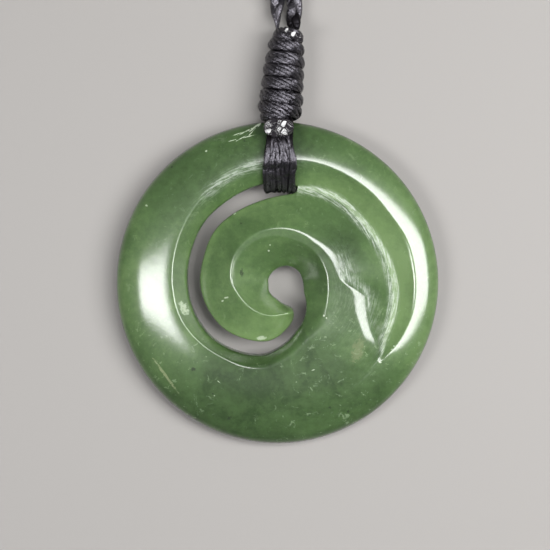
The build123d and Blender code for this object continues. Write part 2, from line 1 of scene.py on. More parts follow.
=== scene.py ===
import bmesh
import bpy
import math
import numpy as np
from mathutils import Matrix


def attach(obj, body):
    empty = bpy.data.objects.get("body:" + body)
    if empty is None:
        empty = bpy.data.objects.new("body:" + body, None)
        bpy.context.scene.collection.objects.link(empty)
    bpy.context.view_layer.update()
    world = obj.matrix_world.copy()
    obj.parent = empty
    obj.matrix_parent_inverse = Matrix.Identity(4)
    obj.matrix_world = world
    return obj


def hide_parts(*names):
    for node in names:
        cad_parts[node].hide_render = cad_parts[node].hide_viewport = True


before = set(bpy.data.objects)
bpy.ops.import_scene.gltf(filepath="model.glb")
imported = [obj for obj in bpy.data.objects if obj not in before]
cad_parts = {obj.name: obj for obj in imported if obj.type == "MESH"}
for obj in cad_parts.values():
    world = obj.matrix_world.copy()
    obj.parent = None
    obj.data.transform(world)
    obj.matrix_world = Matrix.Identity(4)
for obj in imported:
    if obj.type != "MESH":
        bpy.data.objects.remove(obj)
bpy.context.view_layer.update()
scene = bpy.context.scene

# The view: straight down on the stone and the binding, through a long lens, in a frame
# 68.4 mm wide. The picture's up is +Y, and its middle lies just above the stone's centre.
MM = 0.001
PICTURE_PIXELS = 550
PIXEL = 0.12438 * MM
STONE_CENTRE_PX = (277.5, 282.2)
view_lens = 150.0
view_sensor = 36.0
view_width = PICTURE_PIXELS * PIXEL
view_level = 2.8 * MM
view_x = (PICTURE_PIXELS / 2 - STONE_CENTRE_PX[0]) * PIXEL
view_y = (STONE_CENTRE_PX[1] - PICTURE_PIXELS / 2) * PIXEL
view_height = view_level + view_width * view_lens / view_sensor

camera = bpy.data.objects.new("view_camera", bpy.data.cameras.new("view_camera"))
camera.data.lens = view_lens
camera.data.sensor_width = view_sensor
camera.data.clip_start = 0.005
camera.data.clip_end = 20
camera.location = (view_x, view_y, view_height)
scene.collection.objects.link(camera)
scene.camera = camera
scene.view_settings.view_transform = "Standard"

# The studio: two soft panels over the stone, a broad one to the right that reaches nearly
# over it and a smaller one to the left, and a dim one below the picture, in a dim pale room.
def fill_inputs(tree, node, inputs):
    """The node's inputs, by name or place: linked where a socket is given, or else set."""
    for key, value in inputs.items():
        if isinstance(value, bpy.types.NodeSocket):
            tree.links.new(value, node.inputs[key])
        else:
            node.inputs[key].default_value = value


def link_nodes(tree, kind, inputs=None, **settings):
    """The first output of a new shader node with these settings and inputs."""
    node = tree.nodes.new(kind)
    for key, value in settings.items():
        setattr(node, key, value)
    fill_inputs(tree, node, inputs or {})
    return node.outputs[0]


def split_vector(tree, vector):
    """The three numbers of a vector socket."""
    node = tree.nodes.new("ShaderNodeSeparateXYZ")
    tree.links.new(vector, node.inputs[0])
    return node.outputs


def reckon(tree, operation, *values, clamp=False):
    """One step of arithmetic between sockets or numbers in a shader."""
    inputs = dict(enumerate(values))
    return link_nodes(tree, "ShaderNodeMath", inputs, operation=operation, use_clamp=clamp)


def ramp_up(tree, value, low, high):
    """A smooth step from 0 where the value is at low to 1 where it is at high."""
    return link_nodes(tree, "ShaderNodeMapRange",
                      {"Value": value, "From Min": low, "From Max": high},
                      interpolation_type="SMOOTHERSTEP")


PANEL_LEVEL = 0.26


def soft_panel(name, low, high, watts, soft_x, soft_y, cut=None):
    """A flat light facing down: a rectangle from low to high, metres, PANEL_LEVEL above the floor.
    It fades out over the shares soft_x and soft_y of its sides, and past a slanting cut: where
    cut[0] times x plus y falls from cut[2] to cut[1]."""
    light = bpy.data.lights.new(name, "AREA")
    light.shape = "RECTANGLE"
    width, depth = high[0] - low[0], high[1] - low[1]
    light.size = width
    light.size_y = depth
    light.energy = watts
    light.use_nodes = True
    tree = light.node_tree
    emission = tree.nodes["Emission"]
    place = tree.nodes.new("ShaderNodeNewGeometry").outputs["Position"]
    x, y, _ = split_vector(tree, place)
    fade = ramp_up(tree, x, low[0], low[0] + soft_x * width)
    for value, start, end in ((x, high[0], high[0] - soft_x * width),
                              (y, low[1], low[1] + soft_y * depth),
                              (y, high[1], high[1] - soft_y * depth)):
        fade = reckon(tree, "MULTIPLY", fade, ramp_up(tree, value, start, end))
    if cut:
        across = reckon(tree, "MULTIPLY_ADD", x, cut[0], y)
        fade = reckon(tree, "MULTIPLY", fade, ramp_up(tree, across, cut[1], cut[2]))
    tree.links.new(fade, emission.inputs["Strength"])
    panel = bpy.data.objects.new(name, light)
    panel.location = ((low[0] + high[0]) / 2, (low[1] + high[1]) / 2, PANEL_LEVEL)
    panel.visible_camera = False
    scene.collection.objects.link(panel)


soft_panel("right_panel", (-0.020, -0.085), (0.330, 0.100), 3.3, 0.05, 0.25,
           cut=(0.75, 0.016, 0.036))
soft_panel("left_panel", (-0.247, -0.092), (-0.067, 0.030), 1.32, 0.17, 0.34,
           cut=(-1.0, -0.012, 0.030))
soft_panel("near_panel", (-0.13, -0.165), (0.13, -0.055), 0.035, 0.5, 0.5)

world = bpy.data.worlds.new("pale_room")
world.use_nodes = True
background = world.node_tree.nodes["Background"]
fill_inputs(world.node_tree, background, {"Color": (0.9, 0.93, 1.0, 1), "Strength": 0.198})
scene.world = world

# The stone: a disc of green nephrite, sawn, carved and polished by hand. A slot is cut right
# through it round the scroll and into the open eye, and goes on as a tapering channel.
# Millimetres and degrees. The front falls to TIP_LEVEL over the scroll's last TIP_FALL degrees.
STONE_RADIUS = 20.0
STONE_THICKNESS = 6.0
RIM_HEIGHT = 2.3
BACK_EDGE_WIDTH = 2.0
SLOT_START = 78.0
SCROLL_TIP = 300.0
SLOT_START_ROUND = 2.4
TIP_ROUND = 8.0
TIP_LEVEL = 3.0
TIP_FALL = 12.8
SIDE_BULGE = 0.10
BOWL_BULGE = 0.2
STONE_TILT = 1.70
EASED_WIDTH = 0.16
EASED_DROP = 0.07
ANGLE_STEP = 0.75
WELD = 1e-7
# Divisions along a radial line: eye, bevel, crest, foot and on to the cut's middle or tip; then
# from there to the outer foot, the band's crest and the rim
SCROLL_RUNS = (14, 22, 16, 4)
BAND_RUNS = (4, 12, 28)
BACK_RUN, BACK_EDGE_RUN, WALL_RUN = 6, 8, 9
# More radial lines where the slot closes and by the scroll's tip: over how many degrees, how many
CLOSING_LINES = (3.0, 10)
TAPERING_LINES = (5.0, 14)
# Share of the radius within which the back is flat
BACK_FLAT = 1 - BACK_EDGE_WIDTH / STONE_RADIUS

# Outlines in polar form about the stone's centre: degrees counterclockwise from +X, and
# distances as shares of the radius.
# angle, edge of the eye
EYE_EDGE = [
    (-60, 0.297), (-50, 0.266), (-40, 0.235), (-30, 0.202), (-20, 0.176), (0, 0.159), (30, 0.147),
    (60, 0.120), (80, 0.099), (100, 0.082), (130, 0.067), (165, 0.060), (195, 0.057),
    (220, 0.071), (250, 0.089), (270, 0.107), (285, 0.136), (300, 0.168),
]
# angle, inner and outer edge of the slot
SLOT = [
    (78, 0.567, 0.615), (90, 0.538, 0.623), (105, 0.517, 0.613), (120, 0.510, 0.598),
    (140, 0.507, 0.590), (160, 0.486, 0.571), (180, 0.480, 0.560), (200, 0.461, 0.549),
    (220, 0.437, 0.530), (240, 0.401, 0.494), (260, 0.367, 0.453), (270, 0.335, 0.410),
    (280, 0.295, 0.370), (290, 0.258, 0.328), (300, 0.216, 0.297),
]
# angle, inner and outer edge of the channel's bottom
VALLEY = [
    (-60, 0.774, 0.790), (-37, 0.775, 0.792), (-28, 0.715, 0.766), (-20, 0.702, 0.760),
    (-10, 0.696, 0.757), (0, 0.682, 0.744), (10, 0.662, 0.720), (20, 0.642, 0.697),
    (30, 0.622, 0.680), (40, 0.608, 0.667), (50, 0.604, 0.667), (60, 0.594, 0.658),
    (70, 0.580, 0.638), (78, 0.567, 0.615),
]
# angle, crest of the outer band
BAND_CREST = [
    (-60, 0.802), (-37, 0.803), (-24, 0.835), (-12, 0.850), (10, 0.844), (20, 0.834), (30, 0.811),
    (45, 0.799), (60, 0.785), (75, 0.769), (90, 0.747), (105, 0.733), (120, 0.713), (135, 0.692),
    (160, 0.662), (180, 0.645), (200, 0.630), (216, 0.598), (234, 0.562), (244, 0.548),
    (260, 0.515), (275, 0.450), (288, 0.400), (300, 0.360),
]
# angle, crest of the scroll, inner edge of the bevel
SCROLL_CREST = [
    (-60, 0.772, 0.360), (-37, 0.772, 0.345), (-33, 0.745, 0.338), (-29, 0.702, 0.332),
    (-25, 0.652, 0.328), (-20, 0.604, 0.322), (-14, 0.575, 0.316), (-8, 0.556, 0.312),
    (-4, 0.520, 0.310), (0, 0.467, 0.308), (4, 0.432, 0.307), (9, 0.412, 0.306),
    (20, 0.408, 0.302), (31, 0.408, 0.299), (42, 0.388, 0.296), (51, 0.372, 0.292),
    (67, 0.360, 0.285), (90, 0.350, 0.287), (106, 0.345, 0.290), (125, 0.334, 0.290),
    (145, 0.322, 0.287), (165, 0.300, 0.280), (180, 0.284, 0.270), (195, 0.260, 0.246),
    (212, 0.240, 0.227), (233, 0.223, 0.211), (257, 0.209, 0.199), (282, 0.198, 0.188),
    (300, 0.205, 0.190),
]
# Heights in millimetres.
# angle, height of the eye's edge, how far the part inside the crest is levelled, its height,
# its fall from there in to the bevel's edge
SCROLL_LEVEL = [
    (-60, 4.60, 0.0, 5.76, 0.12), (-52, 4.40, 0.24, 5.76, 0.12), (-45, 4.15, 0.44, 5.75, 0.12),
    (-38, 3.85, 0.65, 5.74, 0.11), (-30, 3.50, 0.87, 5.73, 0.11), (-20, 3.15, 1.0, 5.71, 0.11),
    (-10, 2.90, 1.0, 5.69, 0.12), (0, 2.75, 1.0, 5.68, 0.13), (20, 2.65, 1.0, 5.67, 0.16),
    (60, 2.60, 1.0, 5.68, 0.18), (90, 2.60, 1.0, 5.66, 0.16), (150, 2.60, 1.0, 5.55, 0.08),
    (200, 2.65, 1.0, 5.37, 0.04), (250, 2.90, 1.0, 5.10, 0.03), (300, 3.20, 1.0, 4.78, 0.03),
]
# angle, width (a share) and drop of the crest's rounding on its inner side, softness of the
# crest and of the bevel's edge
CREST_ROUNDING = [
    (-60, 0.200, 0.95, 0.00, 0.90), (-45, 0.200, 0.95, 0.00, 0.70),
    (-38, 0.200, 0.95, 0.00, 0.50), (-33, 0.150, 0.80, 0.05, 0.35),
    (-29, 0.125, 0.66, 0.10, 0.25), (-24, 0.105, 0.54, 0.12, 0.18),
    (-18, 0.098, 0.46, 0.14, 0.15), (-8, 0.092, 0.40, 0.25, 0.12), (0, 0.060, 0.24, 0.30, 0.12),
    (8, 0.042, 0.14, 0.25, 0.12), (20, 0.050, 0.18, 0.16, 0.12), (31, 0.060, 0.22, 0.12, 0.12),
    (45, 0.045, 0.14, 0.12, 0.12), (65, 0.025, 0.05, 0.12, 0.12), (100, 0.015, 0.02, 0.12, 0.12),
    (200, 0.010, 0.00, 0.08, 0.08), (300, 0.005, 0.00, 0.08, 0.08),
]
# angle, depth of the channel's bottom, rise of its inner foot
CHANNEL_DEPTH = [
    (-60, 0.00, 0.00), (-38, 0.00, 0.00), (-34, 0.35, 0.03), (-28, 0.90, 0.08), (-20, 1.45, 0.13),
    (-10, 1.85, 0.17), (0, 2.10, 0.18), (20, 2.30, 0.15), (45, 2.35, 0.11), (78, 2.35, 0.06),
]
# angle, height of the slot's inner edge, height of its outer edge
SLOT_HEIGHT = [
    (78, 3.10, 3.00), (140, 3.10, 3.10), (200, 3.15, 3.40), (250, 3.20, 3.90), (300, 3.20, 4.60),
]
# angle, height of the band's crest as a share of the dome's, how far the band is levelled
# outside it, softness of the crest
BAND_SHAPE = [
    (-60, 1.00, 0.0, 0.00), (-52, 1.00, 0.0, 0.00), (-40, 1.00, 0.18, 0.00),
    (-34, 0.98, 0.4, 0.04), (-26, 0.93, 0.75, 0.10), (-14, 0.87, 1.0, 0.12), (0, 0.84, 1.0, 0.12),
    (30, 0.86, 1.0, 0.14), (60, 0.92, 1.0, 0.16), (92, 0.97, 1.0, 0.24), (110, 0.99, 1.0, 0.34),
    (128, 1.00, 1.0, 0.24), (140, 1.00, 1.0, 0.12), (160, 1.00, 1.0, 0.10),
    (236, 1.00, 1.0, 0.12), (248, 1.00, 0.85, 0.40), (262, 1.00, 0.5, 0.50),
    (285, 1.00, 0.0, 0.80), (300, 1.00, 0.0, 0.90),
]

# How the surface looks.
# angle, painted brightness of the colour, for light coming through and for hazy sheen: the
# scroll, its edge at the cut, the band's wall at the cut, the band, the rim
GLOW = [
    (-60, 0.20, 0.20, 0.20, 0.11, 0.13), (-40, 0.38, 0.42, 0.44, 0.30, 0.37),
    (-30, 0.40, 0.45, 0.74, 0.50, 0.60), (-20, 0.38, 0.46, 1.02, 0.62, 0.66),
    (0, 0.35, 0.44, 1.10, 0.72, 0.70), (30, 0.29, 0.36, 1.00, 0.68, 0.70),
    (60, 0.36, 0.42, 0.88, 0.46, 0.45), (90, 0.44, 0.56, 0.50, 0.09, 0.18),
    (120, 0.50, 0.66, 0.45, 0.24, 0.30), (150, 0.56, 0.72, 0.50, 0.43, 0.40),
    (180, 0.62, 0.74, 0.55, 0.56, 0.50), (210, 0.66, 0.84, 0.60, 0.50, 0.44),
    (226, 0.74, 0.94, 0.38, 0.22, 0.22), (240, 0.82, 1.04, 0.16, 0.17, 0.14),
    (270, 0.88, 1.05, 0.20, 0.14, 0.06), (285, 0.84, 1.05, 0.18, 0.14, 0.10),
    (300, 0.80, 1.00, 0.18, 0.10, 0.13),
]
# angle, how matt the surface is, which also sets a pale tint that is partly painted hazy sheen:
# the channel's bottom, the band's crest, the scroll's crest, and what lies inside that
FROST = [
    (-60, 0.0, 0.0, 0.0, 0.0), (-38, 0.2, 0.0, 0.05, 0.04), (-30, 0.6, 0.0, 0.20, 0.08),
    (-10, 0.9, 0.0, 0.60, 0.12), (5, 1.0, 0.0, 0.90, 0.10), (20, 0.9, 0.0, 0.55, 0.05),
    (32, 0.85, 0.0, 0.10, 0.0), (60, 0.75, 0.0, 0.0, 0.0), (78, 0.65, 0.15, 0.0, 0.0),
    (92, 0.3, 0.7, 0.0, 0.0), (125, 0.2, 0.7, 0.0, 0.0), (138, 0.2, 0.1, 0.0, 0.0),
    (300, 0.2, 0.0, 0.0, 0.0),
]
# Shares of the radius over which the matt surface fades: past the channel, from a little inside
# its edge; on either side of the band's crest; inside and outside the scroll's crest; and from
# the bevel's edge outward
FROST_MARGIN, FROST_INSET = 0.016, 0.012
CREST_FROST_WIDTH = 0.03
SCROLL_FROST_WIDTHS = (0.035, 0.06)
BEVEL_FROST_WIDTH = 0.06
# Shares of the radius over which the painted light that comes through changes: at the scroll's
# edge by the cut, past the band's crest and at the rim
GLOWING_EDGE = 0.08
GLOW_PAST_CREST = 0.06
RIM_GLOW_WIDTH = 0.10
# How matt the back and the walls are, and the painted brightness for light coming through them
BACK_LOOK = (0.2, 0.2)
WALL_LOOK = (0.5, 0.45)


def read_columns(table, angles):
    """The table's columns at many angles at once, on cubic arcs whose slope at each row is
    that from the row before to the row after. One column array for each."""
    rows = np.array(table, float)
    at = rows[:, 0]
    slope = np.gradient(rows[:, 1:], at, axis=0)
    slope[1:-1] = (rows[2:, 1:] - rows[:-2, 1:]) / (at[2:] - at[:-2])[:, None]
    a = np.clip(angles, at[0], at[-1])
    k = np.clip(np.searchsorted(at, a, side="right") - 1, 0, len(at) - 2)
    span = (at[k + 1] - at[k])[:, None]
    t = (a - at[k])[:, None] / span
    values = (
        (2 * t**3 - 3 * t**2 + 1) * rows[k, 1:]
        + (t**3 - 2 * t**2 + t) * slope[k] * span
        + (-2 * t**3 + 3 * t**2) * rows[k + 1, 1:]
        + (t**3 - t**2) * slope[k + 1] * span
    )
    return [values[:, column : column + 1] for column in range(values.shape[1])]


def eased_share(t):
    """A share that leaves 0 and reaches 1 without a corner: 3t^2 - 2t^3."""
    t = np.clip(t, 0, 1)
    return t * t * (3 - 2 * t)


def soft_min(a, b, softness):
    """The lower of two heights, with the corner between them rounded: where they differ by
    less than softness, a quarter of softness times the squared remainder is taken off."""
    softness = np.clip(softness, 1e-6, None)
    near = np.clip(1 - np.abs(a - b) / softness, 0, None)
    return np.minimum(a, b) - near**2 * softness / 4


def dome(share):
    """Height of the uncut front: the rim plus the rise times (1 - share^2.4)^(1/1.9)."""
    inside = np.clip(1 - np.clip(share, 0, 1) ** 2.4, 0, 1)
    return RIM_HEIGHT + (STONE_THICKNESS - RIM_HEIGHT) * inside ** (1 / 1.9)


def eased_edge(share, edge):
    """What the sharp edge of a cut loses: a drop falling to 0 as the square of the distance."""
    away = np.abs(share - edge) * STONE_RADIUS / EASED_WIDTH
    return EASED_DROP * np.clip(1 - away, 0, None) ** 2


def scroll_height(angles, share, foot, foot_height):
    """Height of the scroll's side of the front: the soft minimum of the bowl round the eye,
    the cap from bevel to crest (the dome, levelled, and rounded over at the crest), and the
    slope from the crest down to the foot of the channel or the slot's edge. Bowl and slope
    bulge by their share times t(1 - t)."""
    eye = read_columns(EYE_EDGE, angles)[0]
    crest, bevel = read_columns(SCROLL_CREST, angles)
    eye_height, levelled, level, fall = read_columns(SCROLL_LEVEL, angles)
    width, drop, soft_crest, soft_bevel = read_columns(CREST_ROUNDING, angles)
    levelled = eased_share(levelled)
    over = np.clip((share - crest) / width + 1, 0, 1)
    inward = np.clip((crest - width - share) / (crest - width - bevel), 0, 1)
    flat = level - fall * inward - drop * over**2
    cap = dome(share) + (flat - dome(share)) * levelled
    crest_height = dome(crest) + (level - drop - dome(crest)) * levelled
    down = (share - crest) / (foot - crest)
    side = crest_height + (foot_height - crest_height) * down
    side = side + SIDE_BULGE * (crest_height - foot_height) * np.clip(down * (1 - down), 0, None)
    across = (share - eye) / (bevel - eye)
    bevel_height = dome(bevel) + (level - fall - dome(bevel)) * levelled
    bowl = eye_height + (bevel_height - eye_height) * across
    bowl = bowl + BOWL_BULGE * levelled * np.clip(across * (1 - across), 0, None)
    return soft_min(soft_min(cap, side, soft_crest), bowl, soft_bevel)


def band_height(angles, share, foot, foot_height):
    """Height of the outer band: the soft minimum of the wall that rises from the channel or
    the slot, and the band itself, level at its crest and falling to the rim as
    (1 - v^1.55)^(1/1.9), v going from 0 at the crest to 1 at the rim."""
    crest = read_columns(BAND_CREST, angles)[0]
    rise, levelled, softness = read_columns(BAND_SHAPE, angles)
    levelled = eased_share(levelled)
    crest_height = RIM_HEIGHT + (dome(crest) - RIM_HEIGHT) * (1 - (1 - rise) * levelled)
    v = np.clip((share - crest) / (1 - crest), 0, 1)
    level = RIM_HEIGHT + (crest_height - RIM_HEIGHT) * (1 - v**1.55) ** (1 / 1.9)
    uncut = dome(share) + (level - dome(share)) * levelled
    wall = foot_height + (crest_height - foot_height) * (share - foot) / (crest - foot)
    height = soft_min(uncut, wall, softness)
    return np.where(share >= 1, RIM_HEIGHT, height)


def back_height(share):
    """Height of the back: flat, then a quarter of an oval up to the rim."""
    t = np.clip((share - BACK_FLAT) / (1 - BACK_FLAT), 0, 1)
    return RIM_HEIGHT * (1 - np.sqrt(1 - t * t))


def between(edges, counts):
    """Shares along each radial line, in runs from one edge to the next, closer together at
    both ends of each run: 0.45 t + 0.55 (1 - cos(pi t)) / 2."""
    runs = []
    for low, high, count in zip(edges, edges[1:], counts):
        t = np.linspace(0, 1, count + 1)[:-1]
        eased = 0.45 * t + 0.55 * (1 - np.cos(math.pi * t)) / 2
        runs.append(low + (high - low) * eased)
    return np.hstack(runs + [edges[-1]])


def slot_edges(angles):
    """The slot's two edges, drawn together on a half circle where it closes."""
    inner, outer = read_columns(SLOT, angles)
    t = np.clip((angles[:, None] - SLOT_START) / SLOT_START_ROUND, 0, 1)
    half = (outer - inner) / 2 * np.sqrt(1 - (1 - t) ** 2)
    middle = (outer + inner) / 2
    return middle - half, middle + half


def scroll_edges(angles):
    """The scroll's two edges, drawn together on a half circle at its tip."""
    eye = read_columns(EYE_EDGE, angles)[0]
    slot = slot_edges(angles)[0]
    t = np.clip((SCROLL_TIP - angles[:, None]) / TIP_ROUND, 0, 1)
    half = (slot - eye) / 2 * np.sqrt(1 - (1 - t) ** 2)
    middle = (slot + eye) / 2
    return middle - half, middle + half


def inward_glow(share, edge, glow):
    """Painted brightness for light coming through the scroll: more towards its edge at the cut,
    eased.
    """
    return glow[0] + (glow[1] - glow[0]) * eased_share((share - edge) / GLOWING_EDGE + 1)


def crest_frost(share, crest, matt):
    """How matt the band's crest is: a bell curve across it."""
    return matt * np.exp(-((share - crest) / CREST_FROST_WIDTH) ** 2)


def outward_glow(share, foot, crest, glow):
    """Painted brightness for light coming through outside the cut: from the wall's value at its
    foot to the band's a little past its crest and the rim's at the rim, eased."""
    to_band = eased_share((share - foot) / (crest + GLOW_PAST_CREST - foot))
    to_rim = eased_share((share - (1 - RIM_GLOW_WIDTH)) / RIM_GLOW_WIDTH)
    shine = glow[2] + (glow[3] - glow[2]) * to_band
    return shine + (glow[4] - shine) * to_rim


def grid_faces(ids):
    """Quads over a grid of vertex numbers."""
    a, b, c, d = ids[:-1, :-1], ids[1:, :-1], ids[1:, 1:], ids[:-1, 1:]
    return np.stack([a, b, c, d], axis=-1).reshape(-1, 4)


def zip_faces(left, right, left_at, right_at):
    """Triangles between two rows of vertices of different counts: the next vertex along,
    whichever row it is in, closes each triangle."""
    order = np.argsort(np.concatenate([left_at[1:], right_at[1:]]), kind="stable")
    is_left = order < len(left) - 1
    i = np.cumsum(is_left)
    j = np.cumsum(~is_left)
    third = np.where(is_left, left[i], right[j])
    return np.stack([left[i - is_left], right[j - ~is_left], third], axis=-1)


def radial_lines(start, end):
    """Angles from start to end, ANGLE_STEP apart."""
    return np.linspace(start, end, round((end - start) / ANGLE_STEP) + 1)


def crowded(reach, count):
    """Degrees from a rounded end, closer together towards it: reach times t^2.2."""
    return reach * np.linspace(0, 1, count + 2)[1:-1] ** 2.2


def carve_stone():
    """The closed surface of the disc. Front and back are polar grids in three blocks: one line
    from eye to rim where no slot crosses it, and two, scroll and band, where one does. Upright
    walls join them round the eye and the slot."""
    whole = radial_lines(SCROLL_TIP - 360, SLOT_START)
    split = np.concatenate([radial_lines(SLOT_START, SCROLL_TIP),
                            SLOT_START + crowded(*CLOSING_LINES),
                            SCROLL_TIP - crowded(*TAPERING_LINES)])
    split = np.unique(np.round(split, 5))
    coarse = split < SCROLL_TIP - 0.9 * ANGLE_STEP
    points = []
    looks = []
    faces = []
    total = 0

    def add_block(angles, share, height, look=None):
        nonlocal total
        look = look or [value + 0 * share for value in BACK_LOOK]
        looks.append(np.stack(look + [0 * share], axis=-1).reshape(-1, 3))
        turn = np.radians(angles)[:, None]
        x = STONE_RADIUS * share * np.cos(turn)
        y = STONE_RADIUS * share * np.sin(turn)
        points.append(np.stack([x, y, height], axis=-1).reshape(-1, 3))
        ids = total + np.arange(share.size).reshape(share.shape)
        total += share.size
        return ids

    # Front, where it runs from the eye to the rim
    eye = read_columns(EYE_EDGE, whole)[0]
    band_crest = read_columns(BAND_CREST, whole)[0]
    valley_in, valley_out = read_columns(VALLEY, whole)
    crest, bevel = read_columns(SCROLL_CREST, whole)
    rim = np.ones_like(eye)
    middle = (valley_in + valley_out) / 2
    depth, foot_rise = (np.clip(column, 0, None) for column in read_columns(CHANNEL_DEPTH, whole))
    bottom = dome(valley_out) - depth
    inner_foot = dome(valley_in) - depth + foot_rise * np.minimum(depth, 1)
    share_whole = between([eye, bevel, crest, valley_in, middle, valley_out, band_crest, rim],
                          SCROLL_RUNS + BAND_RUNS)
    inner = scroll_height(whole, share_whole, valley_in, inner_foot)
    outer = band_height(whole, share_whole, valley_out, bottom)
    t = np.clip((share_whole - valley_in) / (valley_out - valley_in), 0, 1)
    floor = bottom + (inner_foot - bottom) * (1 - t) ** (1 + np.minimum(2 * depth, 1))
    height = np.where(share_whole > valley_out, outer, floor)
    height = np.where(share_whole < valley_in, inner, height)
    glow = read_columns(GLOW, whole)
    shine = np.where(share_whole < middle, inward_glow(share_whole, valley_in, glow),
                     outward_glow(share_whole, middle, band_crest, glow))
    matt, crest_matt, scroll_matt, inner_matt = read_columns(FROST, whole)
    away = np.abs(share_whole - middle) - (valley_out - valley_in) / 2 + FROST_INSET
    matt = matt * np.exp(-(np.clip(away, 0, None) / FROST_MARGIN) ** 2)
    matt = matt + crest_frost(share_whole, band_crest, crest_matt)
    fade_in, fade_out = SCROLL_FROST_WIDTHS
    off_crest = (share_whole - crest) / np.where(share_whole > crest, fade_out, fade_in)
    inside = inner_matt * eased_share((share_whole - bevel) / BEVEL_FROST_WIDTH)
    inside = inside * (share_whole < crest)
    matt = matt + np.maximum(scroll_matt * np.exp(-off_crest**2), inside)
    front_whole = add_block(whole, share_whole, height - eased_edge(share_whole, eye),
                            [matt, shine])

    # Front, on either side of the slot
    slot_out = slot_edges(split)[1]
    foot_in, lip_out = read_columns(SLOT, split)
    in_height, out_height = read_columns(SLOT_HEIGHT, split)
    tip_in, tip_out = scroll_edges(split)
    crest, bevel = read_columns(SCROLL_CREST, split)
    lip_in = np.minimum(foot_in, tip_out)
    crest = np.clip(crest, tip_in, lip_in)
    bevel = np.clip(bevel, tip_in, crest)
    share = between([tip_in, bevel, crest, lip_in, tip_out], SCROLL_RUNS)
    height = scroll_height(split, share, foot_in, in_height)
    t = np.clip((SCROLL_TIP - split[:, None]) / TIP_FALL, 0, 1)
    height = TIP_LEVEL + (height - TIP_LEVEL) * np.sqrt(1 - (1 - t) ** 2)
    eased = eased_edge(share, tip_in) + eased_edge(share, tip_out)
    glow = read_columns(GLOW, split)
    shine = inward_glow(share, lip_in, glow)
    front_scroll = add_block(split, share, height - eased, [0 * share, shine])
    band_crest = read_columns(BAND_CREST, split)[0]
    rim = np.ones_like(band_crest)
    share_band = between([slot_out, lip_out, band_crest, rim], BAND_RUNS)
    height = band_height(split, share_band, lip_out, out_height) - eased_edge(share_band, slot_out)
    shine = outward_glow(share_band, lip_out, band_crest, glow)
    matt = crest_frost(share_band, band_crest, read_columns(FROST, split)[1])
    front_band = add_block(split[coarse], share_band[coarse], height[coarse],
                           [matt[coarse], shine[coarse]])
    faces += [grid_faces(front_whole), grid_faces(front_scroll), grid_faces(front_band)]
    faces.append(zip_faces(front_band[-1], front_whole[0], share_band[coarse][-1], share_whole[0]))

    # Back
    rim = np.ones_like(eye)
    back_share_whole = between([eye, middle, BACK_FLAT * rim, rim],
                               (BACK_RUN, BACK_RUN, BACK_EDGE_RUN))
    back_whole = add_block(whole, back_share_whole, back_height(back_share_whole))
    back_share = between([tip_in, tip_out], (BACK_RUN,))
    back_scroll = add_block(split, back_share, back_height(back_share))
    rim = np.ones_like(slot_out)
    back_share = between([slot_out, BACK_FLAT * rim, rim], (BACK_RUN, BACK_EDGE_RUN))
    back_band = add_block(split[coarse], back_share[coarse], back_height(back_share[coarse]))
    for block in (back_whole, back_scroll, back_band):
        faces.append(grid_faces(block)[:, ::-1])
    zipped = zip_faces(back_band[-1], back_whole[0], back_share[coarse][-1], back_share_whole[0])
    faces.append(zipped[:, ::-1])

    # Walls of the eye and the slot, from the front's edge down to the back's
    top = np.concatenate([front_whole[:, 0], front_scroll[1:, 0], front_scroll[-2::-1, -1],
                          front_band[1:, 0], front_whole[:1, 0]])
    foot = np.concatenate([back_whole[:, 0], back_scroll[1:, 0], back_scroll[-2::-1, -1],
                           back_band[1:, 0], back_whole[:1, 0]])
    placed = np.concatenate(points)
    levels = np.linspace(0, 1, WALL_RUN)[None, :, None]
    wall = placed[top][:, None] * (1 - levels) + placed[foot][:, None] * levels
    ids = total + np.arange(wall.shape[0] * wall.shape[1]).reshape(wall.shape[:2])
    points.append(wall.reshape(-1, 3))
    looks.append(np.tile([*WALL_LOOK, 0.0], (ids.size, 1)))
    faces.append(grid_faces(ids)[:, ::-1])

    placed = np.concatenate(points)
    tilt = math.radians(STONE_TILT)
    lift = (STONE_RADIUS - BACK_EDGE_WIDTH) * math.sin(tilt)
    y = placed[:, 1] * math.cos(tilt) - placed[:, 2] * math.sin(tilt)
    z = placed[:, 1] * math.sin(tilt) + placed[:, 2] * math.cos(tilt) + lift
    return np.stack([placed[:, 0], y, z], axis=-1) * MM, faces, np.concatenate(looks)


def to_mesh(name, points, faces, crease=50, **marked):
    """A mesh object from arrays: doubles welded, faces smooth, edges past the crease sharp. Each
    array of marked is kept with the points under its own name."""
    mesh = bpy.data.meshes.new(name)
    polygons = [face for block in faces for face in block.tolist()]
    mesh.from_pydata(points.tolist(), [], polygons)
    for title, values in marked.items():
        attribute = mesh.attributes.new(title, "FLOAT_VECTOR", "POINT")
        attribute.data.foreach_set("vector", values.astype(np.float32).ravel())
    body = bmesh.new()
    body.from_mesh(mesh)
    bmesh.ops.remove_doubles(body, verts=body.verts, dist=WELD)
    bmesh.ops.dissolve_degenerate(body, edges=body.edges, dist=WELD)
    bmesh.ops.recalc_face_normals(body, faces=body.faces)
    for face in body.faces:
        face.smooth = True
    for edge in body.edges:
        edge.smooth = not (edge.is_manifold and edge.calc_face_angle(0) > math.radians(crease))
    body.to_mesh(mesh)
    body.free()
    thing = bpy.data.objects.new(name, mesh)
    scene.collection.objects.link(thing)
    return thing


def new_material(name):
    """An empty material, its node tree and the Principled shader on its output."""
    material = bpy.data.materials.new(name)
    material.use_nodes = True
    tree = material.node_tree
    return material, tree, tree.nodes["Principled BSDF"]


def noise(tree, vector, scale, detail, rough=0.6, **more):
    """Noise between 0 and 1 in a shader."""
    return link_nodes(tree, "ShaderNodeTexNoise", {"Vector": vector, "Scale": scale,
                                                   "Detail": detail, "Roughness": rough, **more})


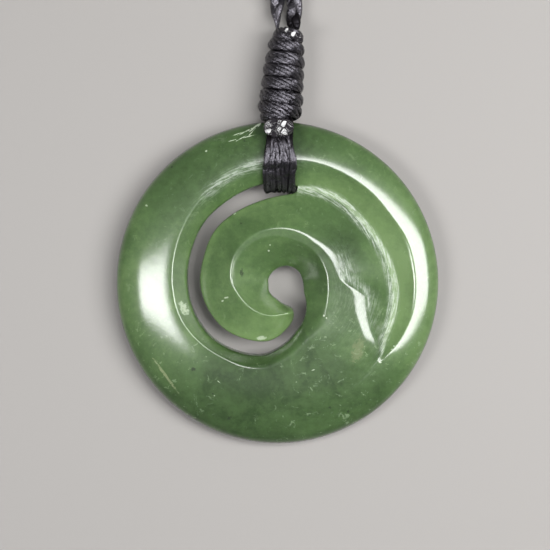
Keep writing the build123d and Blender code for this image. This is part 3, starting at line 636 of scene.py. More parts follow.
def bump_normal(tree, height, strength, distance, **before):
    """The normal of a surface raised by the height, on top of the bump before it, if any."""
    return link_nodes(tree, "ShaderNodeBump", {"Height": height, "Strength": strength,
                                               "Distance": distance, **before})


def shade_ramp(tree, value, first, last, *middle):
    """Colours along the value: each stop is its place and its red, green and blue."""
    node = tree.nodes.new("ShaderNodeValToRGB")
    tree.links.new(value, node.inputs["Fac"])
    for element, (place, colour) in zip(node.color_ramp.elements, (first, last)):
        element.position = place
        element.color = (*colour, 1)
    for place, colour in middle:
        node.color_ramp.elements.new(place).color = (*colour, 1)
    return node.outputs["Color"]


# Marks in the stone, in millimetres and degrees.
# x, y, half length, half width, slant
# Pale marks: chips and flecks in the stone, and two painted glints by the channel's tip, at 14.1,
# -8.3 and 14.4, -7.9
PALE_MARKS_AND_GLINTS = [
    (-4.0, 18.6, 1.10, 0.08, 27), (-2.9, 19.1, 0.90, 0.10, 42), (-3.6, 18.0, 0.80, 0.06, 14),
    (-5.0, 18.3, 0.60, 0.06, 20), (-2.2, 19.6, 0.45, 0.12, 60), (-11.5, -3.3, 0.45, 0.75, 20),
    (-11.9, -2.6, 0.30, 0.30, 0), (-2.0, -6.9, 0.55, 0.26, 5), (12.6, -9.8, 0.12, 0.10, 0),
    (14.1, -8.3, 0.16, 0.08, 40), (14.4, -7.9, 0.10, 0.08, 0), (5.7, -4.1, 0.12, 0.12, 0),
    (6.0, -4.4, 0.09, 0.09, 0), (-8.8, 16.2, 0.12, 0.12, 0), (-16.2, 9.5, 0.14, 0.14, 0),
    (-5.3, 8.5, 0.22, 0.12, 30), (-6.3, -1.9, 0.30, 0.10, 10), (-6.8, -2.3, 0.16, 0.10, 30),
    (-1.1, 3.9, 0.12, 0.10, 0), (-0.9, 4.6, 0.10, 0.10, 0), (4.4, -10.8, 0.20, 0.06, 15),
    (-7.8, -14.0, 0.12, 0.09, 20), (-7.2, -12.3, 0.28, 0.05, -40), (12.7, -9.9, 0.18, 0.10, 0),
    (-4.6, 17.7, 0.70, 0.05, 30), (-3.2, 18.5, 0.80, 0.05, 48), (-5.6, 17.5, 0.50, 0.05, 15),
]
DARK_MARKS = [
    (-4.0, 17.4, 0.18, 0.16, 0), (-13.1, 14.3, 0.20, 0.14, 0), (-10.4, -10.7, 0.26, 0.24, 0),
    (-6.0, -16.8, 0.30, 0.18, 20), (-4.4, 1.2, 0.22, 0.40, 0), (-4.5, 7.3, 0.16, 0.14, 0),
    (6.5, -15.5, 0.16, 0.16, 0), (8.8, -16.0, 0.16, 0.16, 0), (-8.0, -13.8, 0.12, 0.10, 0),
]
# A long thin one at the lower left, and a broad beige one by the channel's tip
PALE_STREAK = (-13.8, -11.6, 2.3, 0.17, -54)
BEIGE_PATCH = (9.9, -8.3, 1.6, 0.75, 75)


def mark(tree, x, y, spot, frayed):
    """1 inside one oval mark, fading to 0 at its frayed edge."""
    middle_x, middle_y, half_length, half_width, slant = spot
    a = math.radians(slant)
    dx = reckon(tree, "SUBTRACT", x, middle_x * MM)
    dy = reckon(tree, "SUBTRACT", y, middle_y * MM)
    along = reckon(tree, "ADD", reckon(tree, "MULTIPLY", dx, math.cos(a) / (half_length * MM)),
                   reckon(tree, "MULTIPLY", dy, math.sin(a) / (half_length * MM)))
    across = reckon(tree, "SUBTRACT", reckon(tree, "MULTIPLY", dy, math.cos(a) / (half_width * MM)),
                    reckon(tree, "MULTIPLY", dx, math.sin(a) / (half_width * MM)))
    square = reckon(tree, "ADD", reckon(tree, "MULTIPLY", along, along),
                    reckon(tree, "MULTIPLY", across, across))
    return ramp_up(tree, reckon(tree, "ADD", square, frayed), 2.0, 0.2)


def any_mark(tree, x, y, spots, frayed):
    """1 inside any of the marks: the greatest of their values."""
    found = mark(tree, x, y, spots[0], frayed)
    for spot in spots[1:]:
        found = reckon(tree, "MAXIMUM", found, mark(tree, x, y, spot, frayed))
    return found


def nephrite():
    """Polished nephrite: clouded greens, painted paler and yellower for light coming through and
    hazy sheen, with pale flecks, dark specks and fine scratches. The channel's bottom is left matt
    from carving, and matt parts are tinted paler, partly as painted hazy sheen."""
    material, tree, shader = new_material("nephrite")
    place = tree.nodes.new("ShaderNodeTexCoord").outputs["Object"]
    x, y, _ = split_vector(tree, place)
    look = tree.nodes.new("ShaderNodeAttribute")
    look.attribute_name = "look"
    frost, glow, _ = split_vector(tree, look.outputs["Vector"])
    cloud = noise(tree, place, 150.0, 6.0, 0.62, Distortion=0.6)
    grain = noise(tree, place, 1300.0, 4.0, 0.7)
    fleck = ramp_up(tree, noise(tree, place, 950.0, 3.0, 0.75, Distortion=0.7), 0.58, 0.72)
    lower = ramp_up(tree, y, 0.002, -0.012)
    fleck_zone = reckon(tree, "MULTIPLY", ramp_up(tree, noise(tree, place, 120.0, 2.0), 0.30, 0.56),
                        reckon(tree, "MULTIPLY_ADD", lower, 0.65, 0.35))
    fleck = reckon(tree, "MULTIPLY", fleck, fleck_zone)

    # fine scratches that follow the carving round the centre, and others that run across
    radius = reckon(tree, "SQRT", reckon(tree, "ADD", reckon(tree, "MULTIPLY", x, x),
                                         reckon(tree, "MULTIPLY", y, y)))
    round_way = link_nodes(tree, "ShaderNodeCombineXYZ", {
        0: reckon(tree, "DIVIDE", x, radius), 1: reckon(tree, "DIVIDE", y, radius),
        2: reckon(tree, "MULTIPLY", radius, 900.0)})
    round_scratch = noise(tree, round_way, 6.0, 3.0, 0.8)
    cross_way = link_nodes(tree, "ShaderNodeMapping", {"Vector": place, "Rotation": (0, 0, 0.9),
                                                       "Scale": (350.0, 5200.0, 350.0)})
    cross_scratch = noise(tree, cross_way, 1.0, 3.0, 0.75)

    # The glow value adds painted brightness to the tone: light coming through the stone and its
    # hazy sheen.
    tone = reckon(tree, "ADD", glow, reckon(tree, "MULTIPLY_ADD", cloud, 1.0, -0.5))
    tone = reckon(tree, "ADD", tone, reckon(tree, "MULTIPLY_ADD", grain, 0.5, -0.25))
    tone = reckon(tree, "MULTIPLY_ADD", fleck, 0.2, tone)
    colour = shade_ramp(tree, tone, (0.0, (0.0178, 0.0390, 0.0098)), (1.0, (0.108, 0.173, 0.064)),
                        (0.42, (0.0465, 0.0875, 0.0270)))

    def tint(colour, share, toward):
        mix = tree.nodes.new("ShaderNodeMix")
        mix.data_type = "RGBA"
        tree.links.new(share, mix.inputs["Factor"])
        tree.links.new(colour, mix.inputs[6])
        mix.inputs[7].default_value = (*toward, 1)
        return mix.outputs[2]

    frayed = reckon(tree, "MULTIPLY_ADD", noise(tree, place, 2600.0, 3.0, 0.7), 5.0, -2.2)
    colour = tint(colour, reckon(tree, "MULTIPLY", fleck, 0.30), (0.25, 0.31, 0.21))
    # Matt, scratched parts are tinted pale: partly the matt stone's own paleness, partly painted
    # hazy sheen.
    scratched = ramp_up(tree, reckon(tree, "MULTIPLY_ADD", grain, 0.35, round_scratch), 0.56, 0.86)
    frost_and_sheen = reckon(tree, "MULTIPLY", frost, reckon(tree, "MULTIPLY_ADD", scratched, 0.85, 0.12))
    colour = tint(colour, reckon(tree, "MULTIPLY", frost_and_sheen, 0.75), (0.42, 0.46, 0.41))
    colour = tint(colour, reckon(tree, "MULTIPLY", mark(tree, x, y, BEIGE_PATCH, frayed), 0.22),
                  (0.26, 0.25, 0.15))
    # Pale chips and flecks, two of them painted glints
    pale = any_mark(tree, x, y, PALE_MARKS_AND_GLINTS, frayed)
    above = reckon(tree, "MULTIPLY_ADD", ramp_up(tree, y, 0.0168, 0.0178), 0.22, 0.62)
    colour = tint(colour, reckon(tree, "MULTIPLY", pale, above), (0.43, 0.50, 0.37))
    colour = tint(colour, reckon(tree, "MULTIPLY", mark(tree, x, y, PALE_STREAK, frayed), 0.34),
                  (0.36, 0.38, 0.22))
    dark = any_mark(tree, x, y, DARK_MARKS, frayed)
    colour = tint(colour, reckon(tree, "MULTIPLY", dark, 0.75), (0.012, 0.020, 0.010))

    scratch = reckon(tree, "ADD", reckon(tree, "MULTIPLY", round_scratch,
                                         reckon(tree, "MULTIPLY_ADD", frost, 0.9, 0.10)),
                     reckon(tree, "MULTIPLY", cross_scratch, 0.10))
    scratch = reckon(tree, "MULTIPLY_ADD", grain, 0.30, scratch)
    normal = bump_normal(tree, scratch, 0.5, 0.05 * MM)
    polish = reckon(tree, "SUBTRACT", 1.0, reckon(tree, "MULTIPLY", frost, 1.1), clamp=True)
    fill_inputs(tree, shader, {
        "Base Color": colour, "Roughness": reckon(tree, "MULTIPLY_ADD", frost, 0.12, 0.42),
        "IOR": 1.61, "Specular IOR Level": 0.14, "Normal": normal,
        "Coat Weight": polish, "Coat Roughness": 0.13, "Coat IOR": 1.55, "Coat Normal": normal,
        "Subsurface Weight": 0.25, "Subsurface Radius": (0.6, 1.0, 0.4),
        "Subsurface Scale": 1.5 * MM,
    })
    return material


stone_points, stone_faces, stone_looks = carve_stone()
stone = to_mesh("carved_stone", stone_points, stone_faces, look=stone_looks)
stone.data.materials.append(nephrite())
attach(stone, "root")
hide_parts("koru_stone")

# The strand loop: a flat bundle of fine black waxed strands. It comes out of the binding,
# bends sharply over the band's crest, goes down through the slot and back under the stone.
STRAND_COUNT = 26
STRAND_STATIONS = 300
STRAND_SIDES = 8
STRAND_HALF_WIDTH = 0.24
STRAND_HALF_THICKNESS = 0.15
STRAND_END_ROUND = 0.5
LOOP_CENTRE_X = 0.28
CORD_LEAN = 0.0875
BINDING_START = 20.07
# y, z, half width, half thickness
LOOP_ROUTE = [
    (30.62, 3.39, 0.90, 0.45), (22.07, 3.74, 1.53, 0.76), (20.77, 3.79, 1.35, 0.42),
    (19.84, 4.70, 1.60, 0.42), (19.04, 5.60, 1.74, 0.42), (17.89, 6.25, 1.64, 0.42),
    (16.71, 6.48, 1.80, 0.42), (15.31, 6.53, 2.04, 0.42), (14.71, 6.43, 2.10, 0.42),
    (14.11, 5.99, 2.12, 0.42), (13.24, 5.45, 2.12, 0.42), (11.48, 3.82, 2.00, 0.42),
    (11.58, 2.28, 1.80, 0.42), (11.73, 1.07, 1.80, 0.38), (12.48, 0.37, 1.90, 0.30),
    (15.79, 0.32, 2.00, 0.30), (18.40, 0.32, 1.88, 0.30), (19.70, 0.77, 1.70, 0.36),
    (20.82, 1.95, 1.25, 0.42), (22.07, 2.05, 1.53, 0.76), (30.62, 2.40, 0.90, 0.45),
]
# Height of the three layers, as shares of the half thickness, and how much lower the outer
# strands lie
STRAND_LAYERS = (0.55, -0.45, 0.05)
OUTER_SINK = 0.9
# Least and greatest swing of each wander across the bundle and up and down, as such shares
ACROSS_WANDER = (0.02, 0.07)
LAYER_WANDER = (0.05, 0.2)
# The rows between which the inner strands cross over, how far and how high they go, and the
# places across, as shares of the half width, past which a strand stays on its side
CROSSING = (4.2, 7.4)
CROSSING_REACH = 0.62
CROSSING_LIFT = 0.55
CROSSING_LIMIT = 0.78
OUTER_STRANDS = 0.74


def smooth_through(rows, count):
    """Stations along a smooth line through the rows, and each station's place along them as a
    number of rows: cubic arcs, whose slope at a row is half the step over its neighbours."""
    numbered = [(k, *row) for k, row in enumerate(rows)]
    at = np.linspace(0, len(rows) - 1, count)
    return np.hstack(read_columns(numbered, at)), at


def unit(vectors):
    """The vectors brought to length 1."""
    return vectors / np.linalg.norm(vectors, axis=-1, keepdims=True)


def strand_tubes(lines, up, half_width, half_thickness, sides):
    """Closed oval tubes round many lines at once: lines is an array (strand, station, xyz).
    A ring is cos across and sin upward, the strand's end is drawn in as a quarter circle.
    Returns points, faces, and each point's place along and round its strand."""
    strands, stations = lines.shape[:2]
    along = unit(np.gradient(lines, axis=1))
    side = unit(np.cross(along, up))
    rise = np.cross(side, along)
    turn = np.linspace(0, 2 * math.pi, sides, endpoint=False)
    across, above = np.cos(turn), np.sin(turn)
    step = np.linalg.norm(np.diff(lines, axis=1), axis=-1)
    length = np.concatenate([np.zeros((strands, 1)), np.cumsum(step, axis=1)], axis=1)
    to_end = np.clip(np.minimum(length, length[:, -1:] - length) / STRAND_END_ROUND, 0, 1)
    closing = np.sqrt(1 - (1 - to_end) ** 2)[:, :, None, None]
    width = np.broadcast_to(half_width, (strands, stations))[:, :, None, None] * closing
    height = np.broadcast_to(half_thickness, (strands, stations))[:, :, None, None] * closing
    rings = (lines[:, :, None] + side[:, :, None] * across[None, None, :, None] * width
             + rise[:, :, None] * above[None, None, :, None] * height)
    ids = np.arange(rings.shape[0] * stations * sides).reshape(strands, stations, sides)
    nearer = np.roll(ids, -1, axis=2)
    faces = np.stack([ids[:, :-1], nearer[:, :-1], nearer[:, 1:], ids[:, 1:]], axis=-1)
    lengthwise = np.broadcast_to(length[:, :, None], ids.shape)
    around = np.broadcast_to(turn / (2 * math.pi), ids.shape)
    number = np.broadcast_to(np.arange(strands)[:, None, None], ids.shape)
    marks = np.stack([lengthwise, around, number], axis=-1).reshape(-1, 3)
    return rings.reshape(-1, 3), faces.reshape(-1, 4), marks


def strand_object(name, lines, up, half_width, half_thickness, sides):
    """A smooth mesh object of strands, each point marked with its length along (mm), its share
    of the way round and the number of its strand."""
    points, faces, marks = strand_tubes(lines, up, half_width, half_thickness, sides)
    return to_mesh(name, points * MM, [faces], crease=180, strand_place=marks)


def loop_strands():
    """The strands' lines. They lie in three layers across the bundle and wander a little. The
    outer ones keep their side, lower down; between the knot and the bend the inner ones swap
    sides, half of them passing over and half under."""
    random = np.random.default_rng(11)
    route, at = smooth_through(LOOP_ROUTE, STRAND_STATIONS)
    y, z, half_width, half_thickness = route.T
    x = LOOP_CENTRE_X + np.clip((y - BINDING_START) * CORD_LEAN, 0, None)
    middle = np.stack([x, y, z], axis=-1)
    along = unit(np.gradient(middle, axis=0))
    up = np.cross([1.0, 0.0, 0.0], along)
    number = np.arange(STRAND_COUNT)[:, None]
    place = np.linspace(-1, 1, STRAND_COUNT)[:, None]
    layer = np.take(STRAND_LAYERS, number % 3)
    outer = np.abs(place) > OUTER_STRANDS

    def wander(low, high):
        return sum(
            random.uniform(low, high, (STRAND_COUNT, 1))
            * np.sin(at * random.uniform(0.6, 2.4, (STRAND_COUNT, 1))
                     + random.uniform(0, 6.3, (STRAND_COUNT, 1)))
            for _ in range(2)
        )

    swapped = eased_share((at - CROSSING[0]) / (CROSSING[1] - CROSSING[0]))
    over = np.where(number % 2, 1.0, -1.0)
    partner = np.where(outer, place, place - over * CROSSING_REACH)
    partner = np.where(np.abs(partner) > CROSSING_LIMIT, place, partner)
    across = place * (1 - swapped) + partner * swapped + wander(*ACROSS_WANDER)
    hump = 4 * swapped * (1 - swapped) * np.where(partner == place, 0, over)
    lift = layer + CROSSING_LIFT * hump + wander(*LAYER_WANDER) - OUTER_SINK * outer
    reach = (half_width - STRAND_HALF_WIDTH)[None]
    depth = (half_thickness - STRAND_HALF_THICKNESS)[None]
    lines = np.broadcast_to(middle, (STRAND_COUNT, STRAND_STATIONS, 3)).copy()
    lines[:, :, 0] += np.clip(across, -1, 1) * reach
    lines += up[None] * (np.clip(lift, -1, 1) * depth)[:, :, None]
    return lines, np.broadcast_to(up, lines.shape)


def waxed_strands(name, twist, sheen_low, sheen_high, painted_shade_where=None):
    """Black waxed thread: fine fibres along it, or slanting where the thread is twisted, with
    patches of wax that shine more. Where its last argument says so, it hardly shines: painted
    shade."""
    material, tree, shader = new_material(name)
    place = tree.nodes.new("ShaderNodeAttribute")
    place.attribute_name = "strand_place"
    length, around, number = split_vector(tree, place.outputs["Vector"])
    turned = reckon(tree, "MULTIPLY_ADD", length, twist, around)
    angle = reckon(tree, "MULTIPLY", turned, 2 * math.pi)
    stretched = link_nodes(tree, "ShaderNodeCombineXYZ", {
        0: reckon(tree, "MULTIPLY_ADD", number, 3.7, reckon(tree, "SINE", angle)),
        1: reckon(tree, "COSINE", angle), 2: reckon(tree, "MULTIPLY", length, 0.22)})
    fibres = noise(tree, stretched, 4.5, 4.0, 0.7)
    spot = tree.nodes.new("ShaderNodeTexCoord").outputs["Object"]
    patches = noise(tree, spot, 1100.0, 3.0, 0.5)
    shade = shade_ramp(tree, fibres, (0.35, (0.0012, 0.0010, 0.0011)),
                       (0.75, (0.0065, 0.0052, 0.0060)))
    fine = bump_normal(tree, fibres, 0.8, 0.08 * MM)
    rough = link_nodes(tree, "ShaderNodeMapRange", {
        "Value": patches, "From Min": 0.35, "From Max": 0.65,
        "To Min": sheen_low, "To Max": sheen_high})
    shine = 0.9
    if painted_shade_where:
        shine = reckon(tree, "MULTIPLY_ADD", painted_shade_where(tree, length, number), -0.80, 0.9)
    fill_inputs(tree, shader, {
        "Base Color": shade, "Roughness": rough, "Specular IOR Level": shine,
        "Specular Tint": (0.92, 0.88, 1.0, 1),
        "Normal": bump_normal(tree, patches, 0.9, 0.25 * MM, Normal=fine),
    })
    return material


def painted_shade_sides(tree, length, number):
    """1 on the strands past the tenth from the middle one, over the first 16 mm: painted shade, by
    which the bundle's edges hardly shine.
    """
    outer = reckon(tree, "ABSOLUTE", reckon(tree, "SUBTRACT", number, (STRAND_COUNT - 1) / 2))
    return reckon(tree, "MULTIPLY", ramp_up(tree, outer, 9.5, 10.5),
                  ramp_up(tree, length, 16.6, 15.2))


# The loop's outer strands hardly shine over their first 16 mm: painted shade along the bundle's
# edges.
fibre_black = waxed_strands("fibre_black", 0.0, 0.20, 0.38, painted_shade_sides)
loop_lines, loop_up = loop_strands()
loop = strand_object("fine_strands", loop_lines, loop_up, STRAND_HALF_WIDTH,
                     STRAND_HALF_THICKNESS, STRAND_SIDES)
loop.data.materials.append(fibre_black)
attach(loop, "root")
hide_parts("strand_loop")

# The sealed knot: strands melted together into a hard, cracked, very glossy black lump.
KNOT_CENTRE = (0.12, 18.93, 7.44)
KNOT_HALF = (1.82, 1.12, 0.75)
# For both lumps: exponent of the ellipsoid; width of the blend from facet to facet, width of the
# clefts and lowest cut, as shares of half the size; rings, and points in a ring
LUMP_BLUNTNESS = 2.6
FACET_BLEND = 0.22
CLEFT_WIDTH = 0.08
LUMP_FLOOR = 0.1
LUMP_RINGS = 97
LUMP_SIDES = 160
# x, y and height of each facet's middle as shares, lean to the right and up the picture
KNOT_FACETS = [
    (-0.66, 0.28, 0.62, -12, 1), (-0.60, -0.40, 0.60, -13, -8), (-0.30, 0.66, 0.60, 2, 28),
    (-0.34, -0.62, 0.52, 4, -26), (-0.22, 0.08, 0.62, -20, 20), (0.02, 0.62, 0.74, 3, 6),
    (0.30, 0.38, 0.78, 12, -2), (0.02, -0.22, 0.74, 5, -5), (0.30, -0.48, 0.70, 14, -7),
    (0.70, 0.08, 0.50, 32, 8), (0.90, -0.45, 0.40, 40, -20), (0.88, 0.55, 0.40, 38, 24),
    (-0.70, 1.05, 0.42, -20, 32), (-0.66, -1.12, 0.40, -14, -32), (-1.15, 0.10, 0.36, -44, 5),
    (0.14, -1.08, 0.44, 6, -34),
]


def melted_lump(name, centre, half, turn_deg, facets, crack):
    """A closed blunt ellipsoid in rings from pole to pole, its upper side cut off by facets:
    near a facet's middle it lies in that facet's plane, and where two middles are equally near
    it sinks into a cleft."""
    down = np.linspace(0, math.pi, LUMP_RINGS)[:, None]
    turn = np.linspace(0, 2 * math.pi, LUMP_SIDES, endpoint=False)[None]
    out = np.stack([np.sin(down) * np.cos(turn), np.sin(down) * np.sin(turn),
                    np.cos(down) * np.ones_like(turn)], axis=-1)
    size = (np.abs(out) ** LUMP_BLUNTNESS).sum(axis=-1, keepdims=True)
    points = out * size ** (-1 / LUMP_BLUNTNESS)
    at_x, at_y, level, lean_x, lean_y = np.array(facets, float).T
    off_x = (points[..., :1] - at_x) * half[0]
    off_y = (points[..., 1:2] - at_y) * half[1]
    far = np.hypot(off_x, off_y) / half[1]
    share = np.exp(-(far / FACET_BLEND) ** 2) + 1e-9
    fall_x, fall_y = np.tan(np.radians(lean_x)), np.tan(np.radians(lean_y))
    plane = level - (fall_x * off_x + fall_y * off_y) / half[2]
    top = (share * plane).sum(axis=-1) / share.sum(axis=-1)
    near = np.sort(far, axis=-1)
    top = top - crack * np.exp(-((near[..., 1] - near[..., 0]) / CLEFT_WIDTH) ** 2)
    z = points[..., 2]
    points[..., 2] = np.where(z > 0, np.minimum(z, np.clip(top, LUMP_FLOOR, None)), z)
    points = points * np.array(half)
    a = math.radians(turn_deg)
    x = points[..., 0] * math.cos(a) - points[..., 1] * math.sin(a)
    y = points[..., 0] * math.sin(a) + points[..., 1] * math.cos(a)
    points = np.stack([x, y, points[..., 2]], axis=-1) + np.array(centre)
    ids = np.arange(points.shape[0] * points.shape[1]).reshape(points.shape[:2])
    ids = np.hstack([ids, ids[:, :1]])
    return to_mesh(name, points.reshape(-1, 3) * MM, [grid_faces(ids)], crease=75)


def melted_wax():
    """Melted black wax and thread: nearly black, wet-looking, with small ripples."""
    material, tree, shader = new_material("melted_wax")
    place = tree.nodes.new("ShaderNodeTexCoord").outputs["Object"]
    ripple = noise(tree, place, 1900.0, 4.0, 0.65, Distortion=1.0)
    shade = shade_ramp(tree, ripple, (0, (0.004, 0.003, 0.004)), (1, (0.020, 0.017, 0.020)))
    fill_inputs(tree, shader, {
        "Base Color": shade, "Roughness": 0.09, "IOR": 1.70,
        "Normal": bump_normal(tree, ripple, 0.45, 0.10 * MM),
    })
    return material


wax_black = melted_wax()
knot = melted_lump("melted_knot", KNOT_CENTRE, KNOT_HALF, 0, KNOT_FACETS, 0.18)
knot.data.materials.append(wax_black)
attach(knot, "root")
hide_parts("sealed_knot")

# The binding: one flat bundle of waxed filaments wound tightly round the doubled loop, a little
# over six turns and part of one at each end, fatter towards the stone. The wraps lie close.
BINDING_LENGTH = 11.4
BINDING_RADIUS = 2.875
BINDING_X = 0.22
BINDING_Z = 2.895
THREAD_PITCH = 1.58
THREAD_WIDTH = 1.46
THREAD_START = math.radians(-134)
FILAMENTS = 6
FILAMENT_HALF_WIDTH = 0.32
FILAMENT_HALF_THICKNESS = 0.24
FILAMENT_SWING = 0.50
FILAMENT_LIFT = 0.10
FILAMENT_TWIST = 8.5
FILAMENT_SIDE_SINK = 0.14
FILAMENT_CLEARANCE = 0.03
FILAMENT_STRAY = (0.05, 0.07)
FILAMENT_SIDES = 10
STATIONS_PER_TURN = 72
# share of the length, share of the radius
BARREL = [
    (0.0, 0.87), (0.06, 0.93), (0.15, 1.0), (0.28, 0.985), (0.42, 0.95), (0.56, 0.93),
    (0.70, 0.87), (0.88, 0.76), (1.0, 0.68),
]
# The thread starts with a part of a turn that lies level under the first full one, and ends
# with one that lies level and sinks into the top. Over LEAD_FADE of a turn the start eases to
# LEAD_SINK lower and to a swing less by the share LEAD_NARROWING. It climbs LEAD_CLIMB a turn.
LEAD_TURNS = 0.74
LEAD_FADE = 0.3
LEAD_SINK = 0.15
LEAD_NARROWING = 0.35
LEAD_CLIMB = 0.15
LAST_TURNS = 0.55
END_SINK_PER_TURN = 0.9


def binding_filaments():
    """The filaments' lines: a helix on the barrel's shape, falling to the right. Within the
    bundle each filament swings from side to side as a sine of its length while it rises and
    sinks as the cosine, so that they twist round one another, and lies lower at both sides;
    each strays a little too."""
    random = np.random.default_rng(23)
    first = BINDING_START + THREAD_WIDTH / 2
    last = BINDING_START + BINDING_LENGTH - THREAD_WIDTH / 2
    turns = (last - first) / THREAD_PITCH
    stations = int((turns + LEAD_TURNS + LAST_TURNS) * STATIONS_PER_TURN)
    wound = np.linspace(-LEAD_TURNS, turns + LAST_TURNS, stations)[None]
    turn = THREAD_START + 2 * math.pi * wound
    run = 2 * math.pi * BINDING_RADIUS * wound
    under = eased_share(-wound / LEAD_FADE)
    sinking = np.clip(wound - turns, 0, None)
    number = np.arange(FILAMENTS)[:, None]

    def stray(size):
        shift = random.uniform(0, 2 * math.pi, (FILAMENTS, 1))
        rate = random.uniform(0.8, 2.6, (FILAMENTS, 1))
        sway = np.sin(turn * rate + shift) + 0.7 * np.sin(turn * rate * 2.3 + 2 * shift)
        return size * sway / 1.7

    twist = 2 * math.pi * (run / FILAMENT_TWIST + number / FILAMENTS)
    sag = 0.06 * np.sin(turn * 0.61 + 1.0) + 0.05 * np.sin(turn * 1.83)
    y = first + THREAD_PITCH * np.clip(wound, 0, turns) + LEAD_CLIMB * np.clip(wound, None, 0)
    y = y + stray(FILAMENT_STRAY[0]) + sag
    y = y + FILAMENT_SWING * (1 - LEAD_NARROWING * under) * np.sin(twist)
    share = np.clip((y - BINDING_START) / BINDING_LENGTH, 0, 1)
    radius = BINDING_RADIUS * read_columns(BARREL, share.ravel())[0].reshape(share.shape)
    out = radius - FILAMENT_HALF_THICKNESS - FILAMENT_LIFT * (1 - np.cos(twist))
    out = out + stray(FILAMENT_STRAY[1])
    out = out - FILAMENT_CLEARANCE - FILAMENT_SIDE_SINK * np.sin(twist) ** 2 - LEAD_SINK * under
    out = out - END_SINK_PER_TURN * sinking
    x = BINDING_X + (y - BINDING_START) * CORD_LEAN
    sine, cosine = np.sin(turn), np.cos(turn)
    lines = np.stack([x - out * sine, y, BINDING_Z + out * cosine], axis=-1)
    up = np.stack([-sine, 0 * sine, cosine], axis=-1)
    return lines, np.broadcast_to(up, lines.shape)


thread_black = waxed_strands("thread_black", 0.0, 0.12, 0.32)
binding_lines, binding_up = binding_filaments()
binding = strand_object("wound_thread", binding_lines, binding_up, FILAMENT_HALF_WIDTH,
                        FILAMENT_HALF_THICKNESS, FILAMENT_SIDES)
binding.data.materials.append(thread_black)
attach(binding, "root")
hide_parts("binding")

# The binding's tail: the end of its thread, melted down onto the last turn.
TAIL_CENTRE = (1.88, 30.62, 5.20)
TAIL_HALF = (1.38, 0.46, 0.36)
TAIL_SLANT = -32.0
# columns as in KNOT_FACETS
TAIL_FACETS = [
    (-0.72, 0.05, 0.74, 6, 2), (-0.36, -0.42, 0.60, 16, -30), (-0.32, 0.52, 0.58, -8, 34),
    (0.02, 0.05, 0.80, 12, 4), (0.42, -0.40, 0.60, 16, -26), (0.46, 0.44, 0.60, 26, 28),
    (0.78, 0.00, 0.62, 30, -12),
]
tail = melted_lump("melted_tail", TAIL_CENTRE, TAIL_HALF, TAIL_SLANT, TAIL_FACETS, 0.12)
tail.data.materials.append(wax_black)
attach(tail, "root")
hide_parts("binding_tail")

# The neck plait: three flat bundles of waxed fibres plaited tightly into a long loop, whose ends
# leave the binding side by side and taper into it.
PLAIT_PERIOD = 9.0
PLAIT_STATIONS_PER_PERIOD = 20
PLAIT_HALF_WIDTH = 1.02
PLAIT_STRAND_HALF_WIDTH = 0.58
PLAIT_STRAND_HALF_THICKNESS = 0.36
PLAIT_STRAND_SIDES = 12
PLAIT_LIFT = 0.36
PLAIT_Z = 1.02
ROUNDING_SHARE = 0.45
ROUNDING_STATIONS = 60
START_PHASE = 0.12
# Each end's taper: over how many millimetres, and the share of the width that is left; the most
# that a bundle gets thinner there; and how far from its end the right one starts to turn dull
# and is dull, in millimetres, as painted shade in the binding's hollow
LEFT_TAPER = 4.6
LEFT_END_SHARE = 0.14
RIGHT_TAPER = 1.8
RIGHT_END_SHARE = 0.5
THINNING_SHARE = 0.6
PAINTED_SHADE_END = (2.9, 2.1)
# x, y, z of the corners of its route
PLAIT_ROUTE = [
    (0.02, 30.90, 2.70), (-0.05, 31.72, 2.30), (-0.15, 38.72, 1.60), (-1.55, 52, PLAIT_Z),
    (-10, 78, PLAIT_Z), (-37, 120, PLAIT_Z), (-62, 172, PLAIT_Z), (-66, 230, PLAIT_Z),
    (-38, 276, PLAIT_Z), (6, 289, PLAIT_Z), (50, 272, PLAIT_Z), (74, 226, PLAIT_Z),
    (68, 168, PLAIT_Z), (41, 117, PLAIT_Z), (13, 76, PLAIT_Z), (3.75, 52, PLAIT_Z),
    (2.15, 38.72, 1.60), (2.05, 31.72, 2.30), (1.75, 30.95, 2.10),
]


def rounded_route(corners):
    """The route with its corners rounded: between two points as far from a corner, 0.45 of the
    shorter side, runs the curve (1-t)^2 p + 2t(1-t) corner + t^2 q, which leaves both sides
    along them."""
    corners = np.array(corners, float)
    before, here, after = corners[:-2], corners[1:-1], corners[2:]
    reach = ROUNDING_SHARE * np.minimum(np.linalg.norm(here - before, axis=1),
                                        np.linalg.norm(after - here, axis=1))[:, None]
    start = here - unit(here - before) * reach
    end = here + unit(after - here) * reach
    t = np.linspace(0, 1, ROUNDING_STATIONS)[None, :, None]
    arcs = (1 - t) ** 2 * start[:, None] + 2 * t * (1 - t) * here[:, None] + t**2 * end[:, None]
    return np.concatenate([corners[:1], arcs.reshape(-1, 3), corners[-1:]])


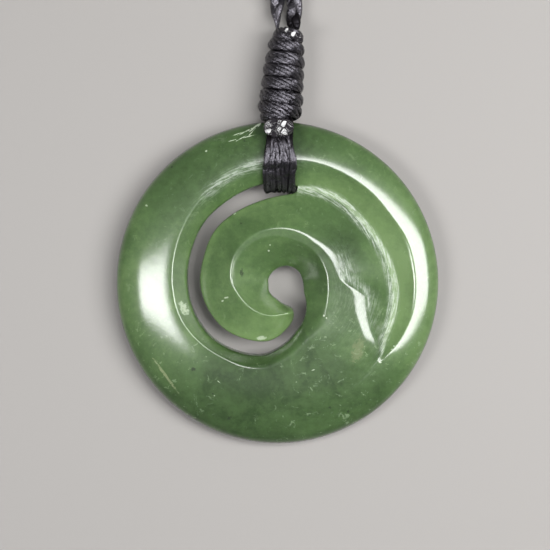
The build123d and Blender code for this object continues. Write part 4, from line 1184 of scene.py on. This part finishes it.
def plait_strands():
    """The three bundles' lines: each swings across as a sine and up and down as the sine of
    twice the angle, a third of a period apart. The plait narrows at its ends, the left one nearly
    to a point."""
    route = rounded_route(PLAIT_ROUTE)
    step = np.linalg.norm(np.diff(route, axis=0), axis=1)
    run = np.concatenate([[0], np.cumsum(step)])
    periods = round(run[-1] / PLAIT_PERIOD)
    even = np.linspace(0, run[-1], periods * PLAIT_STATIONS_PER_PERIOD + 1)
    middle = np.stack([np.interp(even, run, route[:, k]) for k in range(3)], axis=-1)
    along = unit(np.gradient(middle, axis=0))
    side = unit(np.cross(along, [0.0, 0.0, 1.0]))
    rise = np.cross(side, along)
    left = LEFT_END_SHARE + (1 - LEFT_END_SHARE) * eased_share(even / LEFT_TAPER)
    right = eased_share((run[-1] - even) / RIGHT_TAPER)
    narrow = np.minimum(left, RIGHT_END_SHARE + (1 - RIGHT_END_SHARE) * right)
    turns = (periods * even / run[-1] + START_PHASE)[None]
    phase = 2 * math.pi * turns + 2 * math.pi * np.arange(3)[:, None] / 3
    across = (PLAIT_HALF_WIDTH - PLAIT_STRAND_HALF_WIDTH) * np.sin(phase) * narrow
    up = PLAIT_LIFT * np.sin(2 * phase) * narrow
    lines = middle[None] + side[None] * across[:, :, None] + rise[None] * up[:, :, None]
    return lines, np.broadcast_to(rise, lines.shape), narrow


def painted_shade_end(tree, length, number):
    """1 over the last 2 mm, where the right end goes down into the binding's hollow: painted shade
    there.
    """
    return ramp_up(tree, length, plait_length - PAINTED_SHADE_END[0], plait_length - PAINTED_SHADE_END[1])


plait_lines, plait_up, plait_narrow = plait_strands()
plait_length = np.linalg.norm(np.diff(plait_lines, axis=1), axis=-1).sum(axis=1).min()
# The plait's right end hardly shines where it enters the binding: painted shade in the hollow.
plait_black = waxed_strands("plait_black", 0.16, 0.20, 0.40, painted_shade_end)
plait_half_width = PLAIT_STRAND_HALF_WIDTH * plait_narrow
plait_half_thickness = PLAIT_STRAND_HALF_THICKNESS * (1 - THINNING_SHARE * (1 - plait_narrow))
plait = strand_object("plaited_cord", plait_lines, plait_up, plait_half_width,
                      plait_half_thickness, PLAIT_STRAND_SIDES)
plait.data.materials.append(plait_black)
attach(plait, "root")
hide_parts("neck_plait")

# The floor: a plain pale sheet that the pendant lies on.
FLOOR_REACH = 3.0
floor_corners = [(-FLOOR_REACH, -FLOOR_REACH, 0), (FLOOR_REACH, -FLOOR_REACH, 0),
                 (FLOOR_REACH, FLOOR_REACH, 0), (-FLOOR_REACH, FLOOR_REACH, 0)]
floor_mesh = bpy.data.meshes.new("floor")
floor_mesh.from_pydata(floor_corners, [], [(0, 1, 2, 3)])
floor = bpy.data.objects.new("floor", floor_mesh)
scene.collection.objects.link(floor)
floor_material, floor_tree, floor_shader = new_material("pale_floor")
fill_inputs(floor_tree, floor_shader, {"Base Color": (0.23, 0.22, 0.21, 1), "Roughness": 0.8})
floor.data.materials.append(floor_material)
